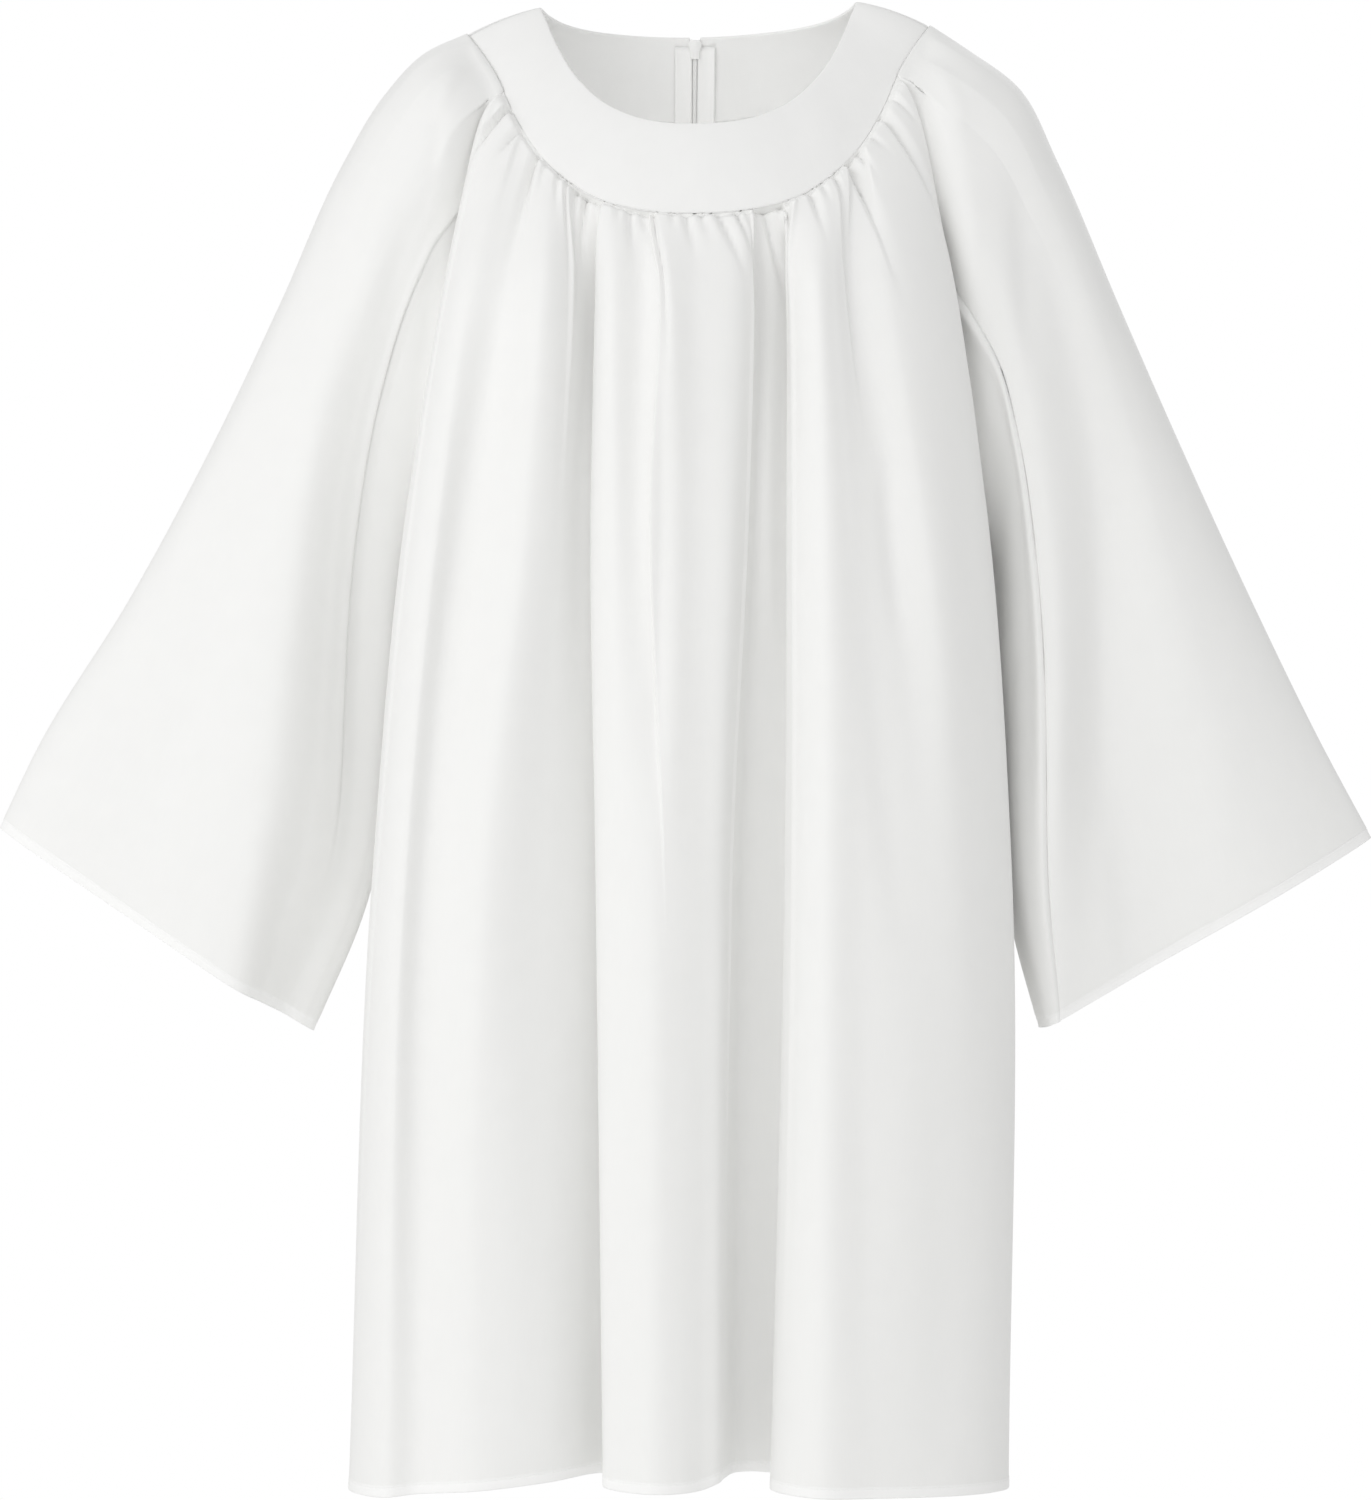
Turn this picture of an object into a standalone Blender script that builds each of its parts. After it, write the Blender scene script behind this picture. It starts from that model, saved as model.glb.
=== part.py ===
"""Choir robe: a round faced yoke, a gathered bell body, wide raglan sleeves and
a concealed zip at the centre back.

The robe is hollow, in the shape it has on a wearer.  Every cloth piece is one
thin wall: an open sheet through its fold lines, thickened inwards.  Sizes in
the tables are millimetres.  +X is the side at the right of the front view,
-Y is the front, +Z is up, and the origin is the middle of the neck opening at
the height of its two side points.
"""
import math
from collections import namedtuple

import bmesh
import bpy
import numpy as np
from mathutils import Matrix, Vector

MM = 0.001

# Cloth
CLOTH = 1.5
YOKE_CLOTH = 2.2
SEAM_GAP = 0.3
RAGLAN_SPREAD = 0.6
RAGLAN_NARROWING = 0.02
HANG_TILT = 0.018
SEAM_STIFFNESS = 0.6
RAGLAN_FALL = 0.2

# Levels below the neck where the folds are measured
Z_BUST = -190.0
Z_CHEST = -330.0
Z_WAIST = -560.0

# Gathers: how far they puff out, where they are fullest and how fast they fade
GATHER_RISE = 0.40
GATHER_FULL = 8.0
GATHER_FADE = 44.0
GATHER_WIDEST = 22.0
SEAM_HOLD = 0.9

# Rows of every body panel, in levels: 0 seam, 1 bust, 2 chest, 3 waist, 4 hem
FINE_ROWS = (0.0, 0.06, 0.17, 0.34, 0.56)
PLAIN_ROWS = (0.8, 1.0, 1.3, 1.55, 1.75, 1.9, 2.0, 2.25, 2.6, 3.0, 3.33, 3.66, 4.0)

# Round yoke, from the centre front over the shoulder to the centre back.  Each
# row is one station of the neck edge and of the gathered seam below it.
RingStation = namedtuple("RingStation", "neck_x neck_y neck_z seam_x seam_y seam_z")
FRONT_STATIONS = 7
RING = (
    RingStation(0, -77, -88.5, 0, -100, -149),
    RingStation(24, -75, -86.8, 31, -98.5, -147),
    RingStation(44, -69, -81, 61, -91.5, -139),
    RingStation(63, -58, -69.5, 84, -80, -124),
    RingStation(80, -42, -50.5, 103, -64.5, -103.5),
    RingStation(91.5, -25, -29.5, 118, -46, -78),
    RingStation(98, -11, -13, 131.5, -25, -47),
    RingStation(103, 0, 0, 150, 0, -17.5),
    RingStation(98, 13, -2.5, 147, 23, -22),
    RingStation(88, 30, -5.5, 134, 46, -31),
    RingStation(72, 46, -7.5, 110, 69, -41),
    RingStation(51, 59, -8.5, 78, 87, -51),
    RingStation(27, 67, -9.2, 40, 98, -59),
    RingStation(0, 70, -9.5, 0, 101, -62),
)
YOKE_SWELL = 2.0
YOKE_RIDGE = 0.04
YOKE_EDGES = (0.0, 0.05, 0.13, 0.3, 0.65, 1.0)
YOKE_FRONT_STEPS = 59
YOKE_BACK_STEPS = 27
YOKE_FLAT_FROM = 1.2
YOKE_FLAT_OVER = 0.8

# Centre back line: how far it stands to the left of the middle.  The two halves
# meet beside the zip in a slit, which their rounded corners open at the neck edge.
BACK_LINE = ((0.0, -2.0), (-400.0, -5.0), (-960.0, -9.0))
ZIP_SLIT = 0.9
NECK_CORNER_WIDTH = 3.0
NECK_CORNER_DEPTH = 8.0

# Raglan and side seams: where they leave the yoke, then x at each level, and
# how far the armhole stands in front of and behind the side seam at the bust
SideSeam = namedtuple("SideSeam", "front back x_bust x_chest x_waist x_hem z_hem")
SIDES = {
    -1: SideSeam(5.62, 8.7, -157, -176.5, -192, -205, -957),
    1: SideSeam(5.8, 8.7, 158, 179, 187, 187, -956),
}
ARMHOLE_FRONT = -45.0
ARMHOLE_BACK = 48.0

# Folds of the front, from the left side seam to the right one: x on the yoke
# seam and at the four levels, depth at the four levels, height of the hem, and
# how many gathers the yoke seam holds before the next fold.
Fold = namedtuple(
    "Fold", "name seam x_bust x_chest x_waist x_hem y_bust y_chest y_waist y_hem z_hem gathers")
FRONT_FOLDS = (
    Fold("left side", -124.5, -160, -184, -207, -223, -80, -84, -75, -70, -958, 2),
    Fold("left ridge", -115, -144, -163, -185, -198, -104, -110, -108, -104, -957, 1),
    Fold("left dip", -103, -121, -147, -172, -178, -104, -105, -109, -110, -955, 2),
    Fold("left crest", -91, -96, -106, -132, -138, -117, -124, -122, -118, -951, 1),
    Fold("left fall", -81, -80, -86, -97, -94, -106, -112, -108, -108, -947, 1),
    Fold("left valley", -70, -69, -74, -70, -65, -84, -82, -84, -90, -946, 1),
    Fold("left tuck", -64, -61, -63, -61, -56, -82, -78, -80, -86, -947, 0),
    Fold("middle edge", -61, -64, -68, -65, -60, -104, -108, -106, -108, -950, 1),
    Fold("middle crest", -54, -55, -54, -51, -46, -118, -127, -129, -130, -951, 1),
    Fold("middle dip", -37, -35, -39, -31, -28, -116, -124, -128, -130, -951, 1),
    Fold("middle ridge", -28, -24, -27, -17, -12, -126, -132, -132, -130, -951, 2),
    Fold("middle plateau", -6, -3, 1, 2, 2, -122, -129, -127, -122, -950, 3),
    Fold("middle fall", 21, 23, 22, 15, 12, -116, -120, -116, -112, -947, 1),
    Fold("middle step", 32, 33, 31, 21, 16, -108, -106, -102, -98, -946, 0),
    Fold("right wall", 37, 39, 36, 28, 24, -88, -80, -72, -66, -946, 1),
    Fold("right valley", 42, 47, 47, 40, 36, -86, -72, -64, -60, -946, 1),
    Fold("right tuck", 52, 61, 63, 61, 54, -86, -78, -72, -66, -948, 0),
    Fold("right edge", 54, 55, 55, 54, 45, -104, -110, -108, -104, -952, 1),
    Fold("right crest", 68, 68, 70, 71, 68, -122, -135, -136, -134, -953, 2),
    Fold("right slope", 85, 84, 94, 103, 110, -118, -131, -132, -127, -954, 1),
    Fold("right dip", 93, 96, 118, 135, 141, -108, -118, -122, -117, -955, 2),
    Fold("right roll", 105, 119, 141, 165, 167, -108, -118, -108, -104, -956, 1),
    Fold("right fall", 115, 146, 166, 188, 187, -92, -98, -84, -86, -957, 1),
    Fold("right side", 122, 161, 182, 200, 198, -70, -74, -60, -62, -958, 1),
)

# Folds of each back half, from the centre back to the side.  The places are
# shares of the half width, and the other columns are those of the front.
HALF_WIDTH = {-1: (158, 180, 205, 219), 1: (160, 183, 206, 212)}
BACK_WANDER = 0.022
BACK_FOLDS = (
    Fold("beside zip", 0.09, 0.11, 0.09, 0.08, 0.075, 114, 118, 121, 121, -950, 1),
    Fold("inner crest", 0.20, 0.22, 0.22, 0.20, 0.19, 123, 130, 133, 134, -951, 2),
    Fold("inner fall", 0.31, 0.31, 0.30, 0.27, 0.25, 112, 112, 108, 106, -949, 1),
    Fold("inner valley", 0.37, 0.37, 0.35, 0.33, 0.31, 98, 90, 84, 80, -947, 1),
    Fold("outer tuck", 0.41, 0.41, 0.41, 0.39, 0.37, 96, 88, 82, 78, -947, 0),
    Fold("outer edge", 0.43, 0.39, 0.38, 0.37, 0.36, 110, 110, 108, 106, -949, 1),
    Fold("outer crest", 0.50, 0.48, 0.47, 0.46, 0.46, 122, 130, 132, 130, -951, 2),
    Fold("outer dip", 0.64, 0.61, 0.62, 0.62, 0.62, 112, 116, 118, 118, -953, 2),
    Fold("side roll", 0.77, 0.76, 0.78, 0.80, 0.81, 108, 112, 112, 112, -954, 1),
    Fold("side fall", 0.89, 0.90, 0.91, 0.93, 0.94, 94, 98, 96, 96, -956, 1),
    Fold("back side", 0.97, 1.0, 1.0, 1.0, 1.0, 76, 80, 74, 72, -957, 1),
)

# Sleeves: the upper outline from the shoulder to the cuff, the lower outline
# from the underarm to the cuff, and the folds that run down the sleeve.  A
# fold's place is its share of the way from the lower to the upper outline, near
# the armhole, on the upper arm, on the forearm and at the cuff.
Point = namedtuple("Point", "x z")
UPPER_OUTLINE = {
    -1: (Point(-178, -33), Point(-205, -61), Point(-231, -104), Point(-271, -193),
         Point(-318, -291), Point(-371, -389), Point(-430, -484), Point(-456, -538)),
    1: (Point(174, -30), Point(209, -56), Point(233, -102), Point(272, -193),
        Point(315, -291), Point(360, -389), Point(408, -487), Point(439, -544.5)),
}
LOWER_OUTLINE = {
    -1: (Point(-188, -362), Point(-199, -450), Point(-217, -585), Point(-252, -670)),
    1: (Point(190, -362), Point(195, -450), Point(205, -600), Point(223, -667)),
}
SleeveFold = namedtuple(
    "SleeveFold", "name w_arm w_upper w_lower w_cuff y_arm y_upper y_lower y_cuff")
SLEEVE_FRONT = {
    -1: (
        SleeveFold("seam roll", 0.05, 0.05, 0.035, 0.03, -20, -22, -22, -20),
        SleeveFold("valley", 0.55, 0.33, 0.12, 0.09, -56, -34, -17, -14),
        SleeveFold("rise", 0.75, 0.48, 0.25, 0.15, -62, -46, -36, -32),
        SleeveFold("crest", 0.86, 0.66, 0.41, 0.22, -58, -54, -54, -52),
        SleeveFold("outer", 0.93, 0.85, 0.72, 0.62, -46, -42, -40, -34),
        SleeveFold("arm", 0.97, 0.96, 0.95, 0.94, -26, -25, -20, -14),
    ),
    1: (
        SleeveFold("seam roll", 0.05, 0.05, 0.03, 0.015, -14, -12, -10, -8),
        SleeveFold("deep strip", 0.30, 0.20, 0.10, 0.03, -45, -22, -16, -10),
        SleeveFold("ridge", 0.62, 0.40, 0.20, 0.06, -66, -60, -58, -40),
        SleeveFold("valley", 0.80, 0.70, 0.41, 0.31, -56, -44, -36, -32),
        SleeveFold("outer", 0.92, 0.88, 0.78, 0.70, -44, -38, -40, -36),
        SleeveFold("arm", 0.97, 0.96, 0.95, 0.94, -26, -24, -20, -14),
    ),
}
SLEEVE_BACK = (
    SleeveFold("seam roll", 0.05, 0.05, 0.04, 0.04, 16, 20, 20, 16),
    SleeveFold("back dip", 0.45, 0.35, 0.30, 0.28, 54, 38, 26, 22),
    SleeveFold("back crest", 0.75, 0.60, 0.52, 0.48, 56, 52, 46, 42),
    SleeveFold("back outer", 0.90, 0.85, 0.78, 0.72, 37, 38, 36, 30),
    SleeveFold("back arm", 0.96, 0.96, 0.95, 0.94, 22, 24, 20, 14),
)
SLEEVE_LEVELS = (0.0, 0.33, 0.67, 1.0)
SLEEVE_ROWS = (0.0, 0.02, 0.05, 0.09, 0.15, 0.23, 0.33, 0.44, 0.55, 0.66, 0.77, 0.88, 1.0)
ARMHOLE_REACH = 0.36
ARMHOLE_START = 0.4
SHOULDER_STEPS = 5
ROLL_REACH = 0.08

# Concealed zip, measured from the neck edge down the centre back.  The tapes, the
# chain and the slider lie inside, the bail and the pull tab outside.
ZIP_TOP = 6.0
ZIP_YOKE_EDGES = (0.35, 0.65, 0.97)
ZIP_LAST_ROW = 1.9
ZIP_CLEAR = 0.3
TAPE_INNER = 1.9
TAPE_WIDTH = 12.0
TAPE_CLOTH = 0.8
CHAIN_HALF = 1.6
CHAIN_DEPTH = 1.6
STOP_SIZE = (4.6, 2.0, 3.0)
SliderSection = namedtuple("SliderSection", "down half_width")
SLIDER_SECTIONS = (
    SliderSection(0.4, 3.0),
    SliderSection(1.4, 3.75),
    SliderSection(6.0, 3.75),
    SliderSection(10.0, 2.9),
    SliderSection(13.8, 2.7),
)
SLIDER_PLATE = 0.9
SLIDER_LIP = 0.8
SLIDER_THROAT = 1.95
BAIL_WIRE = 1.2
BailPoint = namedtuple("BailPoint", "down out")
BAIL_TOP = 3.1
BAIL_PATH = (
    BailPoint(3.2, -4.8),
    BailPoint(3.2, 1.5),
    BailPoint(4.2, 2.7),
    BailPoint(5.6, BAIL_TOP),
    BailPoint(8.0, BAIL_TOP),
    BailPoint(9.5, 2.6),
    BailPoint(10.3, 1.2),
    BailPoint(10.3, -1.9),
)
PULL_AXIS = (6.6, 1.5)
PULL_BAR = 0.6
PULL_THICKNESS = 1.2
PULL_HALF_WIDTHS = ((-0.6, 2.0), (0.0, 2.4), (6.0, 2.4), (14.0, 2.9), (19.5, 2.9), (22.0, 2.1),
                    (23.2, 0.8))
PULL_HOLE_HALF = 1.6
PULL_HOLE_END = 5.0


def hermite(knots, values, at, first_slope=None):
    """Smooth curve through the values: cubic pieces, slopes from both neighbours."""
    knots = np.asarray(knots, float)
    values = np.asarray(values, float)
    slopes = np.gradient(values, knots, axis=0)
    if first_slope is not None:
        slopes[0] = first_slope
    at = np.clip(np.atleast_1d(at), knots[0], knots[-1])
    i = np.clip(np.searchsorted(knots, at, side="right") - 1, 0, len(knots) - 2)
    span = (knots[i + 1] - knots[i])[:, None]
    t = (at - knots[i])[:, None] / span
    return ((2 * t**3 - 3 * t**2 + 1) * values[i] + (t**3 - 2 * t**2 + t) * span * slopes[i]
            + (3 * t**2 - 2 * t**3) * values[i + 1] + (t**3 - t**2) * span * slopes[i + 1])


def share_of_knots(knots, at):
    """Knot value at a fractional position in the knot list."""
    return np.interp(at, np.arange(len(knots)), knots)


def smooth_step(t):
    """Rises from 0 to 1 with level ends."""
    t = np.clip(t, 0.0, 1.0)
    return t * t * (3 - 2 * t)


def ring_table(first, last):
    """Ring columns first..last mirrored past both ends, so that curves run through them."""
    table = np.array(RING, float)[:, first:last]
    mirror = table * np.array([-1.0, 1.0, 1.0])
    return np.vstack([mirror[2:0:-1], table, mirror[-2:-4:-1]])


NECK_TABLE = ring_table(0, 3)
SEAM_TABLE = ring_table(3, 6)
RING_KNOTS = np.arange(-2, len(RING) + 2)
LAST_STATION = len(RING) - 1


def back_line(z):
    """X of the centre back line at a height."""
    heights = [height for height, _ in BACK_LINE]
    places = [place for _, place in BACK_LINE]
    return np.interp(-np.asarray(z, float), [-h for h in heights], places)


def ring_point(stations, edge):
    """Point of the neck edge (edge 0), the gathered seam (edge 1) or between them."""
    stations = np.atleast_1d(np.asarray(stations, float))
    side = np.where(stations < 0, -1.0, 1.0)[:, None] * np.array([1.0, 0, 0])
    side[:, 1:] = 1.0
    neck = hermite(RING_KNOTS, NECK_TABLE, np.abs(stations)) * side
    seam = hermite(RING_KNOTS, SEAM_TABLE, np.abs(stations)) * side
    points = neck + (seam - neck) * edge
    behind = np.clip((np.abs(stations) - FRONT_STATIONS) / (LAST_STATION - FRONT_STATIONS), 0, 1)
    points[:, 0] += back_line(points[:, 2]) * behind**2
    points[:, 2] += points[:, 0] * HANG_TILT
    return points


def yoke_grid(stations, edges):
    """Outer face of the yoke: a band from the neck edge to the seam, a little swollen."""
    rows = np.array([ring_point(stations, edge) for edge in edges])
    across = np.gradient(ring_point(stations, 0.5), axis=0)
    down = ring_point(stations, 1.0) - ring_point(stations, 0.0)
    outward = unit(np.cross(across, down))
    outward *= np.where(outward[:, 2] < 0, -1.0, 1.0)[:, None]
    from_zip = LAST_STATION - np.abs(stations)
    beside_zip = smooth_step((from_zip - YOKE_FLAT_FROM + YOKE_FLAT_OVER) / YOKE_FLAT_OVER)
    for row, edge in zip(rows, edges):
        row += outward * (YOKE_SWELL * 4 * edge * (1 - edge) * beside_zip)[:, None]
    return rows


def centre_back_gap(edges):
    """Half the gap between the yoke's two back ends, from the neck edge to the seam."""
    run = np.linalg.norm(ring_point(LAST_STATION, 1.0)[0] - ring_point(LAST_STATION, 0.0)[0])
    corner = 1 - smooth_step(np.array(edges) * run / NECK_CORNER_DEPTH)
    return ZIP_SLIT + NECK_CORNER_WIDTH * corner


def unit(vectors):
    """Vectors scaled to length 1."""
    return vectors / np.maximum(np.linalg.norm(vectors, axis=-1, keepdims=True), 1e-9)


def yoke_slope(station):
    """Slope with which the cloth leaves the yoke: straight on from the yoke."""
    return unit(ring_point(station, 1.0) - ring_point(station, 0.0))[0] * SEAM_STIFFNESS


def station_of_x(x):
    """Front station whose seam lies at x."""
    stations = np.linspace(-FRONT_STATIONS, FRONT_STATIONS, 281)
    return float(np.interp(x, ring_point(stations, 1.0)[:, 0], stations))


def down_line(points, rows, first_slope):
    """One fold line from the yoke seam to the hem, read at the given rows."""
    points = np.asarray(points, float)
    steps = np.linalg.norm(np.diff(points, axis=0), axis=1)
    knots = np.concatenate([[0.0], np.cumsum(steps)])
    return hermite(knots, points, share_of_knots(knots, rows), first_slope)


def side_edge(side, rows, back=False):
    """Edge of a body panel: the raglan seam down to the underarm, then the side seam."""
    seam = SIDES[side]
    station = side * (seam.back if back else seam.front)
    top = ring_point(station, 1.0)[0]
    depth = ARMHOLE_BACK if back else ARMHOLE_FRONT
    rows = np.asarray(rows, float)
    points = [top, (seam.x_bust, depth, Z_BUST), (seam.x_chest, depth, Z_CHEST),
              (seam.x_waist, 0, Z_WAIST), (seam.x_hem, 0, seam.z_hem)]
    fall = unit(np.array(points[1]) - top) * SEAM_STIFFNESS
    line = down_line(points, rows, yoke_slope(station) * (1 - RAGLAN_FALL) + fall * RAGLAN_FALL)
    below_bust = np.clip(rows - 1, 0, 1)
    line[:, 1] = np.where(rows > 1, depth * np.sqrt(1 - below_bust**2), line[:, 1])
    return line


def panel_lines(folds):
    """Points of each fold line of a panel, with its station on the yoke seam."""
    lines = []
    for fold, station in folds:
        top = ring_point(station, 1.0)[0]
        lines.append((station, [
            top,
            (fold.x_bust, fold.y_bust, Z_BUST),
            (fold.x_chest, fold.y_chest, Z_CHEST),
            (fold.x_waist, fold.y_waist, Z_WAIST),
            (fold.x_hem, fold.y_hem, fold.z_hem),
        ]))
    return lines


def panel_grid(stations, lines, gathers, rows, columns):
    """Points of a body panel, rows down by columns across, with the gathers on it."""
    grid = []
    for row in range(len(rows)):
        points = np.array([line[row] for line in lines])
        steps = np.linalg.norm(np.diff(points, axis=0), axis=1) ** 0.5
        knots = np.concatenate([[0.0], np.cumsum(np.maximum(steps, 0.05))])
        grid.append(hermite(knots, points, share_of_knots(knots, columns)))
    grid = np.array(grid)
    on_seam = ring_point(np.interp(columns, np.arange(len(stations)), stations), 1.0)
    settle = 1 - smooth_step(np.asarray(rows) / SEAM_HOLD)
    grid += settle[:, None, None] * (on_seam - grid[0])
    across = np.gradient(grid, axis=1)
    down = np.gradient(grid, axis=0)
    outward = unit(np.cross(down, across))
    drop = np.linalg.norm(np.diff(grid, axis=0, prepend=grid[:1]), axis=2).cumsum(axis=0)
    widths = np.linalg.norm(np.gradient(on_seam, columns, axis=0), axis=1)
    phase, width = gather_phase(columns, gathers, widths)
    swell = smooth_step(drop / GATHER_FULL) * np.exp(-(drop / GATHER_FADE) ** 1.3)
    return grid + outward * (GATHER_RISE * width * phase * swell)[:, :, None]


def gather_phase(columns, gathers, widths):
    """Height of the gathers across the seam, from 0 in a crease to 1 between two."""
    interval = np.clip(columns.astype(int), 0, len(gathers) - 1)
    count = np.array(gathers)[interval]
    phase = np.abs(np.sin(np.pi * (columns - interval) * count))
    width = np.where(count > 0, widths / np.maximum(count, 1), 0.0)
    return phase, np.minimum(width, GATHER_WIDEST)


def column_places(gathers, spare=2):
    """Columns of a panel and which of them go on below the gathers."""
    places = []
    keep = []
    for index, count in enumerate(gathers):
        parts = max(2 * count, spare)
        for part in range(parts):
            places.append(index + part / parts)
            keep.append(part % 2 == 0 or parts <= 2)
    places.append(float(len(gathers)))
    keep.append(True)
    return np.array(places), np.array(keep)


def strip_faces(upper, lower, upper_place, lower_place):
    """Triangles between two rows of vertices that may have different columns."""
    faces = []
    i = 0
    j = 0
    while i < len(upper) - 1 or j < len(lower) - 1:
        step_upper = upper_place[i + 1] if i < len(upper) - 1 else math.inf
        step_lower = lower_place[j + 1] if j < len(lower) - 1 else math.inf
        if step_upper < step_lower - 1e-9:
            faces.append((upper[i], lower[j], upper[i + 1]))
            i += 1
        elif step_lower < step_upper - 1e-9:
            faces.append((upper[i], lower[j], lower[j + 1]))
            j += 1
        else:
            faces.append((upper[i], lower[j], lower[j + 1]))
            faces.append((upper[i], lower[j + 1], upper[i + 1]))
            i += 1
            j += 1
    return faces


def sheet_object(name, rows, places, thickness, material, collection, flip=False, closed=False):
    """Cloth wall: an open sheet of triangles through rows of points, thickened inwards."""
    vertices = []
    faces = []
    previous = None
    for row, place in zip(rows, places):
        first = len(vertices)
        vertices.extend(tuple(point) for point in np.asarray(row) * MM)
        index = list(range(first, len(vertices)))
        place = list(place)
        if closed:
            index.append(first)
            place.append(place[-1] + 1.0)
        if previous:
            faces.extend(strip_faces(previous[0], index, previous[1], place))
        previous = (index, place)
    if flip:
        faces = [tuple(reversed(face)) for face in faces]
    mesh = bpy.data.meshes.new(name)
    mesh.from_pydata(vertices, [], faces)
    mesh.shade_smooth()
    thing = bpy.data.objects.new(name, mesh)
    thing.data.materials.append(material)
    collection.objects.link(thing)
    wall = thing.modifiers.new("wall", "SOLIDIFY")
    wall.thickness = thickness * MM
    wall.offset = -1.0
    wall.use_even_offset = False
    wall.use_rim = True
    return thing


def pull_back(grid, top=0.0, start=0.0, end=0.0, bottom=0.0):
    """Draws the edges of a grid of points back from the seams they meet at."""
    grid = grid.copy()
    if top:
        grid[0] += unit(grid[1] - grid[0]) * top
    if bottom:
        grid[-1] += unit(grid[-2] - grid[-1]) * bottom
    if start:
        grid[:, 0] += unit(grid[:, 1] - grid[:, 0]) * start
    if end:
        grid[:, -1] += unit(grid[:, -2] - grid[:, -1]) * end
    return grid


def make_material(name, colour, roughness, metallic=0.0):
    """Plain principled material."""
    material = bpy.data.materials.new(name)
    material.use_nodes = True
    shader = material.node_tree.nodes["Principled BSDF"]
    shader.inputs["Base Color"].default_value = (*colour, 1.0)
    shader.inputs["Roughness"].default_value = roughness
    shader.inputs["Metallic"].default_value = metallic
    material.diffuse_color = (*colour, 1.0)
    return material


def build_yoke(cloth, collection):
    """The faced neck band in three pieces: front, back left and back right."""
    before = FRONT_STATIONS - YOKE_RIDGE
    ahead = np.linspace(-before, before, YOKE_FRONT_STEPS)
    behind = np.linspace(FRONT_STATIONS + YOKE_RIDGE, LAST_STATION, YOKE_BACK_STEPS)
    pieces = (
        ("yoke_front", np.concatenate([[-FRONT_STATIONS], ahead, [FRONT_STATIONS]])),
        ("yoke_back_left", -np.concatenate([[FRONT_STATIONS], behind])),
        ("yoke_back_right", np.concatenate([behind[::-1], [FRONT_STATIONS]])),
    )
    for name, stations in pieces:
        grid = yoke_grid(stations, YOKE_EDGES)
        half = SEAM_GAP / 2
        if name == "yoke_front":
            grid = pull_back(grid, start=half, end=half)
        elif name == "yoke_back_left":
            grid = pull_back(grid, start=half)
            grid[:, -1, 0] = back_line(grid[:, -1, 2]) - centre_back_gap(YOKE_EDGES)
        else:
            grid = pull_back(grid, end=half)
            grid[:, 0, 0] = back_line(grid[:, 0, 2]) + centre_back_gap(YOKE_EDGES)
        places = [np.arange(len(stations))] * len(YOKE_EDGES)
        sheet_object(name, grid, places, YOKE_CLOTH, cloth, collection,
                     flip=name != "yoke_front")


def front_panel(rows, columns=None):
    """Grid of the front between its two side edges."""
    folds = [(fold, station_of_x(fold.seam)) for fold in FRONT_FOLDS]
    lines = panel_lines(folds)
    stations = [-SIDES[-1].front] + [station for station, _ in lines] + [SIDES[1].front]
    down = [side_edge(-1, rows)]
    down += [down_line(points, rows, yoke_slope(station)) for station, points in lines]
    down.append(side_edge(1, rows))
    gathers = [1] + [fold.gathers for fold in FRONT_FOLDS]
    if columns is None:
        columns, _ = column_places(gathers)
    return panel_grid(stations, down, gathers, rows, columns), gathers


def back_folds(side):
    """Folds of one back half in millimetres, from the centre back to the side."""
    widths = HALF_WIDTH[side]
    folds = []
    for fold in BACK_FOLDS:
        shares = np.array([fold.x_bust, fold.x_chest, fold.x_waist, fold.x_hem])
        wander = side * BACK_WANDER * np.sin(np.pi * shares)
        heights = (Z_BUST, Z_CHEST, Z_WAIST, fold.z_hem)
        places = back_line(heights) + side * (shares + wander) * np.array(widths)
        station = LAST_STATION - fold.seam * (LAST_STATION - SIDES[side].back)
        folds.append((fold._replace(x_bust=places[0], x_chest=places[1], x_waist=places[2],
                                    x_hem=places[3]), side * station))
    return folds


def centre_back_edge(side, rows):
    """Edge of a back half along the zip and the seam below it."""
    first = BACK_FOLDS[0]
    station = side * LAST_STATION
    top = ring_point(station, 1.0)[0]
    points = [top, (0, first.y_bust, Z_BUST), (0, first.y_chest, Z_CHEST),
              (0, first.y_waist, Z_WAIST), (0, first.y_hem, first.z_hem)]
    line = down_line(points, rows, yoke_slope(station))
    line[:, 0] = back_line(line[:, 2]) + side * ZIP_SLIT
    return line


def back_panel(side, rows, columns=None):
    """Grid of one back half, from the centre back to its side edge."""
    lines = panel_lines(back_folds(side))
    stations = [side * LAST_STATION] + [station for station, _ in lines]
    stations += [side * SIDES[side].back]
    down = [centre_back_edge(side, rows)]
    down += [down_line(points, rows, yoke_slope(station)) for station, points in lines]
    down.append(side_edge(side, rows, back=True))
    gathers = [0] + [fold.gathers for fold in BACK_FOLDS]
    if columns is None:
        columns, _ = column_places(gathers)
    if side < 0:
        grid = panel_grid(stations, down, gathers, rows, columns)
    else:
        grid = panel_grid(stations[::-1], down[::-1], gathers[::-1], rows,
                          (len(gathers) - columns)[::-1])[:, ::-1]
    grid[:, 0, 0] = back_line(grid[:, 0, 2]) + side * ZIP_SLIT
    return grid, gathers


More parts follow.
